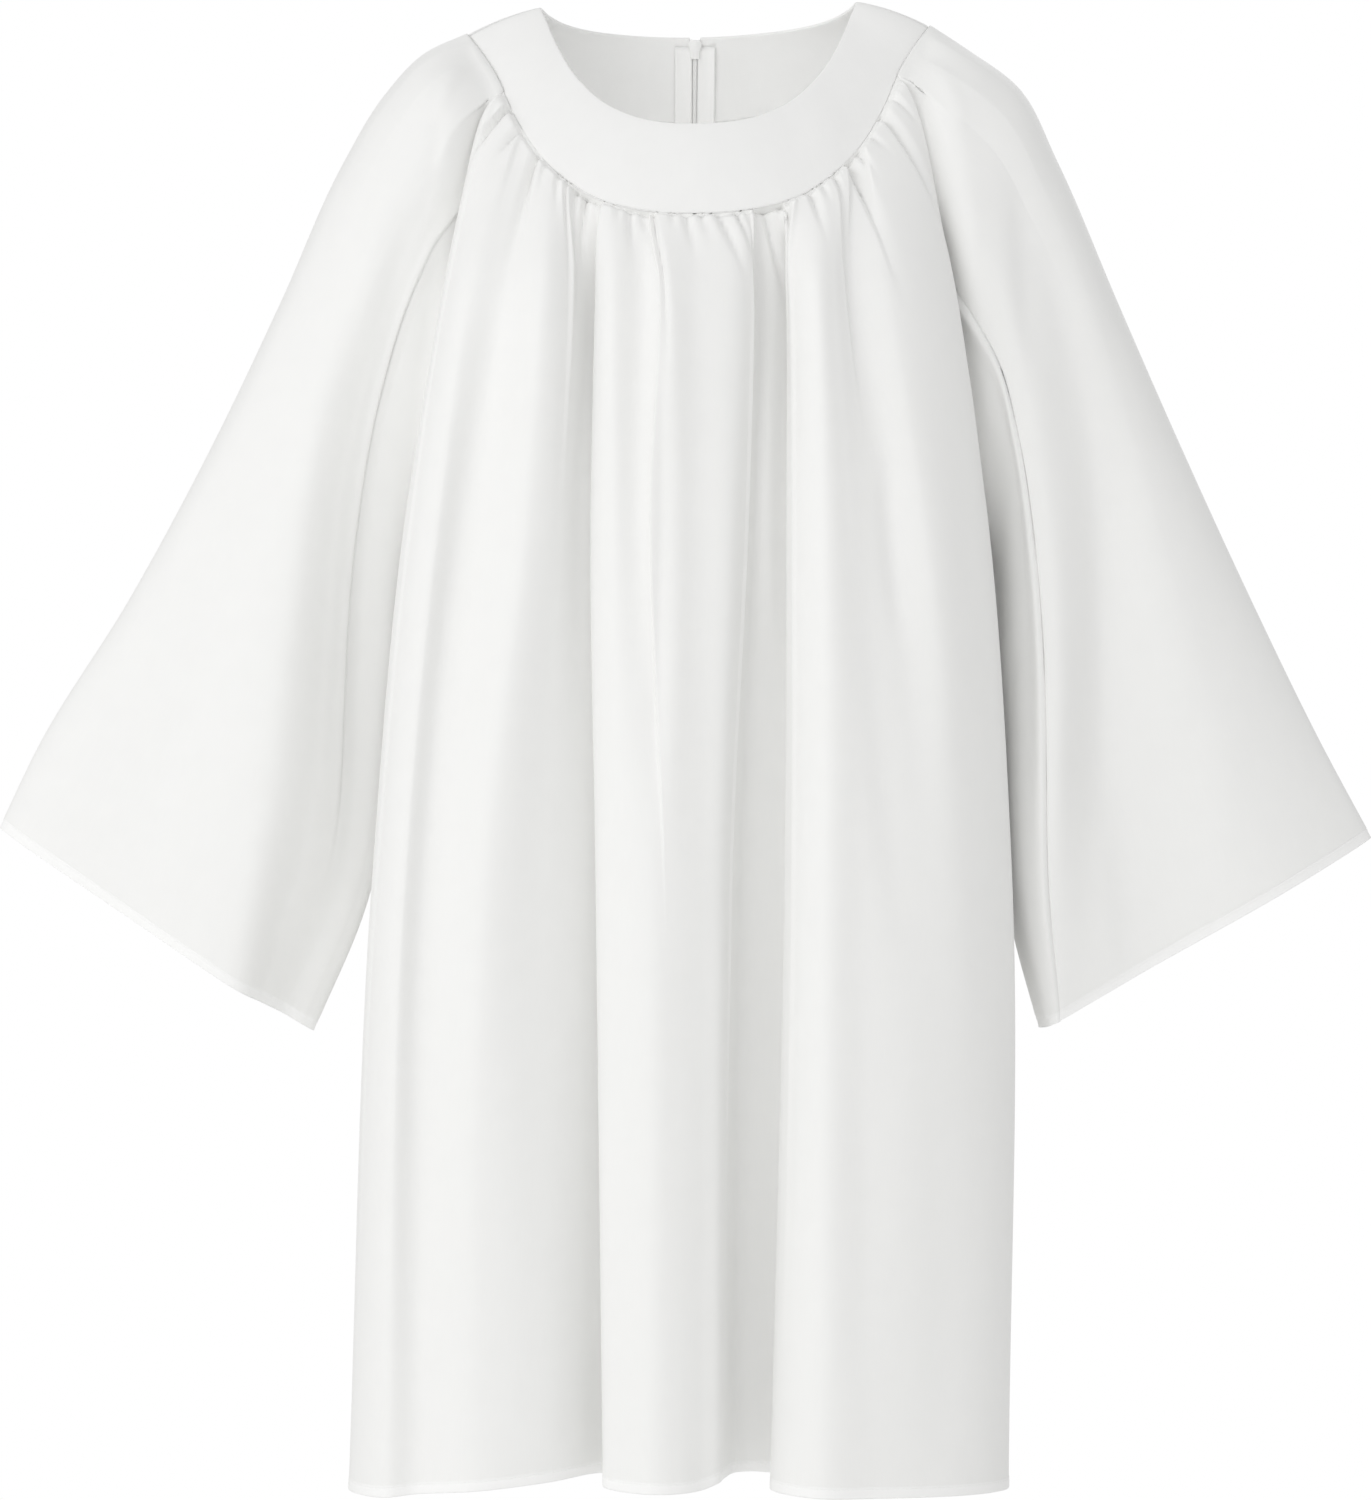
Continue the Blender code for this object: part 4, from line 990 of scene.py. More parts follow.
def stitch_line(name: str, path: Array, normals: Array, closed: bool) -> bpy.types.Object:
    """Lockstitches along a path: short threads that rise from the cloth and dip back in.

    A stitch is a capsule of four rings, STITCH_RINGS, one every STITCH_PITCH: the middle
    rings stand proud and the end rings are sunk.

    Args:
        name: Name of the piece.
        path: Points on the cloth (N, 3) in millimetres.
        normals: Outward directions at those points.
        closed: Whether the path is a loop.

    Returns:
        One mesh object with all the stitches.
    """
    if closed:
        path = np.concatenate([path, path[:1]])
        normals = np.concatenate([normals, normals[:1]])
    run = run_along(path)
    count = int((run[-1] - 2 * STITCH_START) / STITCH_PITCH)
    shares, heights, sizes = np.array(STITCH_RINGS).T
    starts = STITCH_START + np.arange(count) * STITCH_PITCH
    at = (starts[:, None] + shares * STITCH_LENGTH).ravel()
    centre = read_along(path, run, at)
    up = unit(read_along(normals, run, at))
    ahead = read_along(path, run, at + 0.3)
    side = unit(np.cross(unit(ahead - centre + 1e-6), up))
    centre = centre + up * np.tile(heights, count)[:, None]
    angle = (np.arange(STITCH_SIDES) * 2 * np.pi / STITCH_SIDES)[:, None]
    spread = np.cos(angle) * side[:, None] + np.sin(angle) * up[:, None]
    points = centre[:, None] + spread * np.tile(sizes, count)[:, None, None]
    rings, ring = len(shares), np.arange(STITCH_SIDES)
    base = (np.arange(count) * rings * STITCH_SIDES)[:, None]
    sides = (base[:, None] + ring_quads(rings, STITCH_SIDES)).reshape(-1, 4).tolist()
    caps = (base + ring[::-1]).tolist() + (base + (rings - 1) * STITCH_SIDES + ring).tolist()
    piece = add_object(name, points, sides + caps)
    point_outwards(piece.data)
    return piece


class Wiring:
    """Places and links nodes in one shader tree."""

    def __init__(self, tree: bpy.types.NodeTree) -> None:
        """Keeps the tree to wire."""
        self.tree = tree

    def node(self, kind: str, inputs: Optional[dict[object, object]] = None,
             **settings: object) -> bpy.types.Node:
        """Adds a node.

        Args:
            kind: Blender's node type.
            inputs: Values or output sockets, by input name or number.
            settings: Properties set on the node before its inputs.

        Returns:
            The new node.
        """
        made = self.tree.nodes.new(kind)
        for key, value in settings.items():
            setattr(made, key, value)
        self.feed(made, inputs or {})
        return made

    def feed(self, made: bpy.types.Node, inputs: dict[object, object]) -> None:
        """Sets a node's inputs to values, or links them to output sockets.

        Args:
            made: The node.
            inputs: Values or output sockets, by input name or number.
        """
        for key, value in inputs.items():
            if isinstance(value, bpy.types.NodeSocket):
                self.tree.links.new(value, made.inputs[key])
            else:
                made.inputs[key].default_value = value

    def math(self, operation: str, *values: object) -> bpy.types.NodeSocket:
        """Output of a Math node on values or sockets."""
        return self.node("ShaderNodeMath", dict(enumerate(values)), operation=operation).outputs[0]

    def vary(self, mask: bpy.types.NodeSocket, mean: float, spread: float) -> bpy.types.NodeSocket:
        """Values spread round a mean by a mask: mask * spread + mean - spread / 2."""
        return self.math("MULTIPLY_ADD", mask, spread, mean - spread / 2)


def shader_group(name: str, inputs: dict[str, tuple[str, object]],
                 outputs: dict[str, str]) -> tuple[bpy.types.NodeTree, Wiring, dict]:
    """Starts a node group with its sockets.

    Args:
        name: Name of the group.
        inputs: Socket type and default by input name.
        outputs: Socket type by output name.

    Returns:
        The group, its wiring and its Group Input sockets by name.
    """
    tree = bpy.data.node_groups.new(name, "ShaderNodeTree")
    for key, (kind, value) in inputs.items():
        socket = tree.interface.new_socket(key, in_out="INPUT", socket_type=kind)
        if value is not None:
            socket.default_value = value
    for key, kind in outputs.items():
        tree.interface.new_socket(key, in_out="OUTPUT", socket_type=kind)
    wiring = Wiring(tree)
    entry = wiring.node("NodeGroupInput")
    return tree, wiring, {socket.name: socket for socket in entry.outputs}


def weave_group() -> bpy.types.NodeTree:
    """Plain weave: sin(2 pi u) * sin(2 pi v) on the cut, blurred by a slub noise.

    Returns:
        A group with inputs Cut and Pitch and outputs Height and Slub.
    """
    tree, w, given = shader_group(
        "plain_weave", {"Cut": ("NodeSocketVector", None), "Pitch": ("NodeSocketFloat", 0.0004)},
        {"Height": "NodeSocketFloat", "Slub": "NodeSocketFloat"})
    turns = w.math("DIVIDE", 2 * math.pi, given["Pitch"])
    place = w.node("ShaderNodeSeparateXYZ", {0: given["Cut"]})
    warp = w.math("SINE", w.math("MULTIPLY", place.outputs["X"], turns))
    weft = w.math("SINE", w.math("MULTIPLY", place.outputs["Y"], turns))
    crossing = w.math("MULTIPLY_ADD", w.math("MULTIPLY", warp, weft), 0.5, 0.5)
    stretched = w.node("ShaderNodeMapping", {"Vector": given["Cut"], "Scale": (900.0, 60.0, 1.0)})
    slub = w.node("ShaderNodeTexNoise", {"Vector": stretched.outputs[0], "Scale": 1.0,
                                         "Detail": 1.0, "Roughness": 0.4})
    w.node("NodeGroupOutput", {"Height": crossing, "Slub": slub.outputs[0]})
    return tree


def rumple_group() -> bpy.types.NodeTree:
    """Soft unevenness of hanging cloth: noise on the object's own place, stretched upright.

    Returns:
        A group with inputs Place and Size and outputs Height and Tone.
    """
    tree, w, given = shader_group(
        "soft_rumple", {"Place": ("NodeSocketVector", None), "Size": ("NodeSocketFloat", 0.05)},
        {"Height": "NodeSocketFloat", "Tone": "NodeSocketFloat"})
    upright = w.node("ShaderNodeMapping", {"Vector": given["Place"], "Scale": (1.0, 1.0, 0.35)})
    scale = w.math("DIVIDE", 1.0, given["Size"])
    broad = w.node("ShaderNodeTexNoise", {"Vector": upright.outputs[0], "Scale": scale,
                                          "Detail": 2.0, "Roughness": 0.45})
    fine = w.node("ShaderNodeTexNoise", {"Vector": given["Place"],
                                         "Scale": w.math("MULTIPLY", scale, 3.3), "Detail": 1.0})
    w.node("NodeGroupOutput", {"Height": broad.outputs[0], "Tone": fine.outputs[0]})
    return tree


def new_material(name: str) -> tuple[bpy.types.Material, Wiring, bpy.types.Node, bpy.types.Node]:
    """Starts a material.

    Args:
        name: Its name.

    Returns:
        The material, its wiring, its Texture Coordinate node and its Principled shader.
    """
    made = bpy.data.materials.new(name)
    made.use_nodes = True
    w = Wiring(made.node_tree)
    return made, w, w.node("ShaderNodeTexCoord"), made.node_tree.nodes["Principled BSDF"]


@dataclass(frozen=True)
class ClothFinish:
    """Woven cloth: its colours, with a lighter hem band as painted light, sheen, thread and the
    unevenness of its surface.
    """

    name: str
    colour: Colour = (0.905, 0.905, 0.893)
    # Painted light: the turned hem band gets a lighter colour, standing in for the single layer that
    # lets the dark inside show through while the thicker hem stays opaque.
    band_colour: Colour = (0.955, 0.955, 0.948)
    roughness: float = 0.62
    roughness_spread: float = 0.10
    tone_spread: float = 0.020
    slub_spread: float = 0.016
    sheen: float = 0.22
    sheen_roughness: float = 0.45
    specular: float = 0.35
    thread_pitch: float = 0.00042
    thread_bump: float = 0.10
    thread_depth: float = 0.00006
    rumple_size: float = 0.055
    rumple_depth: float = 0.0011

    def material(self, weave: bpy.types.NodeTree, rumple: bpy.types.NodeTree) -> bpy.types.Material:
        """Builds the material.

        Args:
            weave: The plain weave group.
            rumple: The soft rumple group.

        Returns:
            The material, which reads the piece's own cut, band and place.
        """
        made, w, place, shader = new_material(self.name)
        threads = w.node("ShaderNodeGroup", {"Pitch": self.thread_pitch, "Cut": place.outputs["UV"]},
                         node_tree=weave)
        folds = w.node("ShaderNodeGroup", {"Size": self.rumple_size, "Place": place.outputs["Object"]},
                       node_tree=rumple)
        # The band mask mixes in the lighter hem colour: painted light for the opaque turned hem
        # against the see-through single layer.
        band = w.node("ShaderNodeAttribute", attribute_name="band")
        colour = w.node("ShaderNodeMix", {"A": (*self.colour, 1.0), "B": (*self.band_colour, 1.0),
                                          "Factor": band.outputs["Fac"]}, data_type="RGBA")
        grey = w.math("MULTIPLY", w.vary(folds.outputs["Tone"], 1.0, self.tone_spread),
                      w.vary(threads.outputs["Slub"], 1.0, self.slub_spread))
        greys = w.node("ShaderNodeCombineColor", {0: grey, 1: grey, 2: grey})
        shade = w.node("ShaderNodeMix", {"Factor": 1.0, "A": colour.outputs["Result"],
                                         "B": greys.outputs[0]},
                       data_type="RGBA", blend_type="MULTIPLY")
        soft = w.node("ShaderNodeBump", {"Height": folds.outputs["Height"], "Strength": 1.0,
                                         "Distance": self.rumple_depth})
        fine = w.node("ShaderNodeBump", {"Height": threads.outputs["Height"],
                                         "Strength": self.thread_bump,
                                         "Distance": self.thread_depth,
                                         "Normal": soft.outputs[0]})
        rough = w.vary(threads.outputs["Slub"], self.roughness, self.roughness_spread)
        w.feed(shader, {"Base Color": shade.outputs["Result"], "Roughness": rough,
                        "Normal": fine.outputs[0], "Specular IOR Level": self.specular,
                        "Sheen Weight": self.sheen, "Sheen Roughness": self.sheen_roughness})
        return made


@dataclass(frozen=True)
class EnamelFinish:
    """Baked enamel on the slider and the pull tab, rubbed a little darker at random."""

    name: str
    colour: Colour = (0.99, 0.99, 0.98)
    worn_share: float = 0.93
    roughness: float = 0.34
    roughness_spread: float = 0.12
    peel_size: float = 0.0012
    peel_depth: float = 0.00005
    peel_bump: float = 0.25
    coat: float = 0.4

    def material(self, rumple: bpy.types.NodeTree) -> bpy.types.Material:
        """Builds the material.

        Args:
            rumple: The soft rumple group, here at the size of enamel's orange peel.

        Returns:
            The material.
        """
        made, w, place, shader = new_material(self.name)
        peel = w.node("ShaderNodeGroup", {"Size": self.peel_size, "Place": place.outputs["Object"]},
                      node_tree=rumple)
        darker = tuple(share * self.worn_share for share in self.colour)
        worn = w.node("ShaderNodeMix", {"A": (*self.colour, 1.0), "B": (*darker, 1.0),
                                        "Factor": peel.outputs["Tone"]}, data_type="RGBA")
        bump = w.node("ShaderNodeBump", {"Height": peel.outputs["Height"],
                                         "Strength": self.peel_bump, "Distance": self.peel_depth})
        rough = w.vary(peel.outputs["Tone"], self.roughness, self.roughness_spread)
        w.feed(shader, {"Base Color": worn.outputs["Result"], "Roughness": rough,
                        "Normal": bump.outputs[0], "Coat Weight": self.coat})
        return made


@dataclass(frozen=True)
class FloorFinish:
    """Plain pale floor paint with a faint unevenness."""

    colour: Colour = (0.93, 0.93, 0.92)
    roughness: float = 0.64
    roughness_spread: float = 0.08
    slab_size: float = 0.6

    def material(self, rumple: bpy.types.NodeTree) -> bpy.types.Material:
        """Builds the floor's material.

        Args:
            rumple: The soft rumple group, at the size of a painted slab's unevenness.

        Returns:
            The material.
        """
        made, w, place, shader = new_material("pale_floor")
        slab = w.node("ShaderNodeGroup", {"Size": self.slab_size, "Place": place.outputs["Object"]},
                      node_tree=rumple)
        rough = w.vary(slab.outputs["Tone"], self.roughness, self.roughness_spread)
        w.feed(shader, {"Base Color": (*self.colour, 1.0), "Roughness": rough})
        return made


@dataclass
class Wardrobe:
    """All finishes of the robe, made once."""

    body: bpy.types.Material = field(init=False)
    yoke: bpy.types.Material = field(init=False)
    tape: bpy.types.Material = field(init=False)
    thread: bpy.types.Material = field(init=False)
    enamel: bpy.types.Material = field(init=False)
    floor: bpy.types.Material = field(init=False)

    def __post_init__(self) -> None:
        """Makes the two shared groups and every material from them."""
        weave = weave_group()
        rumple = rumple_group()
        self.body = ClothFinish("robe_cloth_weave").material(weave, rumple)
        self.yoke = ClothFinish("yoke_cloth_weave", colour=(0.915, 0.915, 0.905),
                                rumple_size=0.045, rumple_depth=0.0009).material(weave, rumple)
        self.tape = ClothFinish("zip_tape_knit", colour=(0.965, 0.965, 0.955), roughness=0.75,
                                sheen=0.1, thread_pitch=0.0009, thread_bump=0.5,
                                rumple_depth=0.0001).material(weave, rumple)
        self.thread = ClothFinish("sewing_thread", colour=(0.92, 0.92, 0.91), roughness=0.5,
                                  thread_pitch=0.0005, thread_bump=0.4,
                                  rumple_depth=0.0).material(weave, rumple)
        self.enamel = EnamelFinish("slider_enamel_coat").material(rumple)
        self.floor = FloorFinish().material(rumple)


def finish_piece(piece: bpy.types.Object, material: bpy.types.Material, body: str, slot: str,
                 *nodes: str) -> bpy.types.Object:
    """Dresses a piece and ties it to the frame.

    Args:
        piece: The piece.
        material: Its material.
        body: CAD body that it rides on.
        slot: The record's material slot; not used.
        nodes: CAD nodes that it stands for.

    Returns:
        The piece.
    """
    piece.data.materials.append(material)
    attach(piece, body)
    if nodes:
        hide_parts(*nodes)
    LOG.info("%s: %d faces", piece.name, len(piece.data.polygons))
    return piece


def body_rows() -> Array:
    """Levels of the body rows: close at the yoke seam and at the hem, wide between.

    Returns:
        Rising levels from 0 to 4.
    """
    near_seam = np.linspace(0, 1, SEAM_ROWS) ** SEAM_ROW_POWER
    below = [np.linspace(*span)[1:] for span in BODY_ROWS]
    return np.concatenate([near_seam, *below, 4 - HEM_STEPS / SKIRT_LENGTH])


@dataclass
class BodyPanel:
    """A gathered panel of the body, from the yoke seam to the hem."""

    name: str
    node: str
    flat: tuple[float, float]
    flat_area: float
    carrier: str = "yoke_front_band"
    spacing: float = 2.6
    ledges: tuple[Ledge, ...] = ()
    pleats: tuple[Pleat, ...] = ()
    creases: tuple[Crease, ...] = ()
    rise: float = 5.2
    rise_full: float = 5.0
    rise_fade: float = 44.0
    rise_power: float = 1.3
    onset: float = 2.5
    bite: float = 1.5
    reach: float = 1.25
    groove_power: float = 1.6
    crimp: float = 0.35
    crimp_fade: float = 5.0
    pleat_wall: float = 0.18
    end_fade: float = 7.0
    two_sided: bool = False
    turn: float = 1.0
    stations: Array = field(init=False)
    lines: Array = field(init=False)
    columns: Array = field(init=False)
    rows: Array = field(init=False)

    def lay_lines(self) -> None:
        """Sets the stations, fold lines, rows and columns."""
        raise NotImplementedError

    def gathers(self) -> list[tuple[Gather, float]]:
        """Gathers with the column number at which each leaves the seam."""
        raise NotImplementedError

    def base_grid(self, columns: Array) -> Array:
        """The folded panel without gathers.

        Across each row runs a centripetal spline through the fold lines. Near the yoke the
        rows settle on to the seam curve: the first row's miss fades out by SEAM_HOLD.

        Args:
            columns: Fractional fold numbers.

        Returns:
            Array (R, C, 3) in millimetres.
        """
        across = np.swapaxes(self.lines, 0, 1)
        grid = spline(across, chord_knots(across, ROW_POWER, LEAST_CHORD), columns)
        places = np.interp(columns, np.arange(len(self.stations)), self.stations)
        on_seam = RING_CURVE.point(places, 1.0)
        settle = 1 - smooth_step(self.rows / SEAM_HOLD)
        return grid + settle[:, None, None] * (on_seam - grid[0])

    def gather_relief(self, grid: Array) -> Array:
        """Height of the gathers.

        Between creases the cloth puffs out by `rise`, which builds up over `rise_full` and
        dies as exp(-(drop / rise_fade)^rise_power). Each crease takes bite * depth *
        (1 - |d| / width)^groove_power from it, so its bottom is sharp, and fades as
        exp(-(drop / (length * reach))^2). Small crimps die within `crimp_fade`, and each
        tuck sinks its floor between two steep walls.

        Args:
            grid: The panel's points.

        Returns:
            Array (R, C).
        """
        drop = run_along(grid)
        arc = run_along(grid, 1)
        height = (self.rise * smooth_step(drop / self.rise_full)
                  * np.exp(-((drop / self.rise_fade) ** self.rise_power)))
        onset = smooth_step(drop / self.onset)
        for gather, column in self.gathers():
            reach = arc_at(drop, self.columns, column)
            centre = arc_at(arc, self.columns, column)
            centre = centre + gather.drift * np.minimum(reach / gather.length, 2.0)
            away = arc - centre[:, None]
            width = np.where(away < 0, gather.left, gather.right)
            groove = np.clip(1 - np.abs(away) / width, 0, 1) ** self.groove_power
            fade = onset * bell(drop / (gather.length * self.reach))
            height -= gather.depth * self.bite * groove * fade
        crimp = np.sin(arc * 1.57 + 1.3 * np.sin(arc * 0.23)) + 0.6 * np.sin(arc * 2.41 + 0.7)
        height += self.crimp * crimp * onset * bell(drop / self.crimp_fade)
        for pleat in self.pleats:
            low = arc_at(arc, self.columns, pleat.first)[:, None]
            high = arc_at(arc, self.columns, pleat.last)[:, None]
            wall = np.maximum((high - low) * self.pleat_wall, 1.0)
            floor = smooth_step((arc - low) / wall) * smooth_step((high - arc) / wall)
            height -= pleat.depth * floor * onset * bell(drop / pleat.length)
        ends = np.minimum(arc, arc[:, -1:] - arc)
        return height * smooth_step(ends / self.end_fade)

    def seam_puff(self, grid: Array) -> Array:
        """Height of the cloth beside a raglan seam.

        It is SEAM_PUFF * (1 - exp(-d / SEAM_PUFF_RISE)) * exp(-d / SEAM_PUFF_FADE) at a
        distance d from the seam, from the yoke down to a little past the bust.

        Args:
            grid: The panel's points.

        Returns:
            Array (R, C).
        """
        arc = run_along(grid, 1)
        away = arc[:, -1:] - arc
        if self.two_sided:
            away = np.minimum(away, arc)
        foot = 1 - smooth_step((self.rows - PUFF_END) / PUFF_END_FADE)
        puff = (1 - np.exp(-away / SEAM_PUFF_RISE)) * np.exp(-away / SEAM_PUFF_FADE)
        return SEAM_PUFF * puff * (smooth_step(self.rows / PUFF_START) * foot)[:, None]

    def build(self, wardrobe: Wardrobe) -> bpy.types.Object:
        """Builds the panel and its hem stitches.

        Args:
            wardrobe: The finishes.

        Returns:
            The panel.
        """
        self.lay_lines()
        grid = self.base_grid(self.columns)
        normals = outward_of(grid, self.turn)
        height = self.gather_relief(grid) + self.seam_puff(grid)
        height += ledge_relief(grid, self.columns, self.rows, self.ledges)
        height += crease_relief(grid, self.creases, np.ones(grid.shape[:2]))
        hem, mask = hem_relief(grid)
        grid = self.trim(grid + normals * (height + hem)[..., None])
        piece = sheet_mesh(self.name, grid, self.turn, mask=mask)
        add_wall(piece, CLOTH)
        finish_piece(piece, wardrobe.body, "robe", "robe_cloth", self.node)
        path = grid[STITCH_ROW, 2:-2]
        normals = outward_of(grid, self.turn)[STITCH_ROW, 2:-2]
        thread = stitch_line(f"{self.name}_hem_stitches", path, normals, False)
        finish_piece(thread, wardrobe.thread, "robe", "robe_cloth")
        return piece

    def trim(self, grid: Array) -> Array:
        """Draws the top and the side edges back from their seams by half the gap."""
        grid = grid.copy()
        grid[0] += unit(grid[1] - grid[0]) * SEAM_GAP
        grid[:, 0] += unit(grid[:, 1] - grid[:, 0]) * SEAM_GAP / 2
        grid[:, -1] += unit(grid[:, -2] - grid[:, -1]) * SEAM_GAP / 2
        return grid


@dataclass
class FrontPanel(BodyPanel):
    """The gathered front between its two raglan and side seams."""

    ledges: tuple[Ledge, ...] = FRONT_LEDGES
    pleats: tuple[Pleat, ...] = FRONT_PLEATS
    creases: tuple[Crease, ...] = FRONT_CREASES
    two_sided: bool = True

    def lay_lines(self) -> None:
        """Sets the fold lines from the front's table, with a side edge at each end."""
        self.rows = body_rows()
        inner = RING_CURVE.station_of_x(np.array([fold.seam for fold in FRONT_FOLDS], float))
        self.stations = np.concatenate([[-SIDES[Side.LEFT].front], inner, [SIDES[Side.RIGHT].front]])
        lines = fold_lines(FRONT_FOLDS, inner, self.rows)
        left, right = (side_edge(side, self.rows, False)[None] for side in (Side.LEFT, Side.RIGHT))
        self.lines = np.concatenate([left, lines, right])
        crisp = crisp_places(self.ledges, self.pleats) + [0.0, len(self.lines) - 1.0]
        self.columns = add_columns(spread_columns(self.lines, self.spacing), crisp)

    def gathers(self) -> list[tuple[Gather, float]]:
        """Gathers with the column whose station lies at each one's x."""
        places = RING_CURVE.station_of_x(np.array([g.seam_x for g in FRONT_GATHERS], float))
        columns = np.interp(places, self.stations, np.arange(len(self.stations)))
        return list(zip(FRONT_GATHERS, columns))


@dataclass
class BackPanel(BodyPanel):
    """One gathered back half, from the centre back to its side."""

    side: Side = Side.LEFT
    spacing: float = 2.8
    ledges: tuple[Ledge, ...] = BACK_LEDGES
    pleats: tuple[Pleat, ...] = BACK_PLEATS
    creases: tuple[Crease, ...] = BACK_CREASES

    def lay_lines(self) -> None:
        """Sets the fold lines from the back's table, scaled to this side's half width."""
        self.rows = body_rows()
        sign = self.side.value
        seam = SIDES[self.side]
        widths = np.array(HALF_WIDTH[self.side])
        folds = []
        for fold in BACK_FOLDS:
            shares = np.array(fold[2:6])
            wander = sign * BACK_WANDER * np.sin(np.pi * shares)
            heights = np.array([Z_BUST, Z_CHEST, Z_WAIST, fold.z_hem])
            places = back_line(heights) + sign * (shares + wander) * widths
            folds.append(Fold(fold.name, fold.seam, *places, *fold[6:]))
        span = LAST_STATION - seam.back
        inner = np.array([sign * (LAST_STATION - fold.seam * span) for fold in folds])
        self.stations = np.concatenate([[sign * LAST_STATION], inner, [sign * seam.back]])
        lines = fold_lines(tuple(folds), inner, self.rows)
        centre, edge = self.centre_edge()[None], side_edge(self.side, self.rows, True)[None]
        self.lines = np.concatenate([centre, lines, edge])
        crisp = crisp_places(self.ledges, self.pleats)
        self.columns = add_columns(spread_columns(self.lines, self.spacing), crisp)
        self.turn = -float(sign)

    def centre_edge(self) -> Array:
        """Edge along the zip and the seam below it, (R, 3)."""
        first = BACK_FOLDS[0]
        station = self.side.value * LAST_STATION
        top = RING_CURVE.point(station, 1.0)[0]
        points = np.array([top, (0, first.y_bust, Z_BUST), (0, first.y_chest, Z_CHEST),
                           (0, first.y_waist, Z_WAIST), (0, first.y_hem, first.z_hem)])
        line = spline(points, chord_knots(points), self.rows, RING_CURVE.slope(station)[0])
        return self.beside_zip(line)

    def beside_zip(self, line: Array) -> Array:
        """A line (R, 3) moved to half the gap from the centre back line."""
        gap = np.interp(line[:, 2], CENTRE_GAP_Z, CENTRE_GAP)
        line[:, 0] = back_line(line[:, 2]) + self.side.value * gap
        return line

    def base_grid(self, columns: Array) -> Array:
        """The folded half, with its first column held beside the zip."""
        grid = super().base_grid(columns)
        grid[:, 0] = self.beside_zip(grid[:, 0])
        return grid

    def gathers(self) -> list[tuple[Gather, float]]:
        """Gathers with the column at each one's share of the seam, drifting outwards."""
        span = LAST_STATION - SIDES[self.side].back
        places = [LAST_STATION - gather.seam_x * span for gather in BACK_GATHERS]
        rising = np.arange(len(self.stations))
        columns = np.interp(places, np.abs(self.stations)[::-1], rising[::-1])
        return list(zip(BACK_GATHERS, columns))


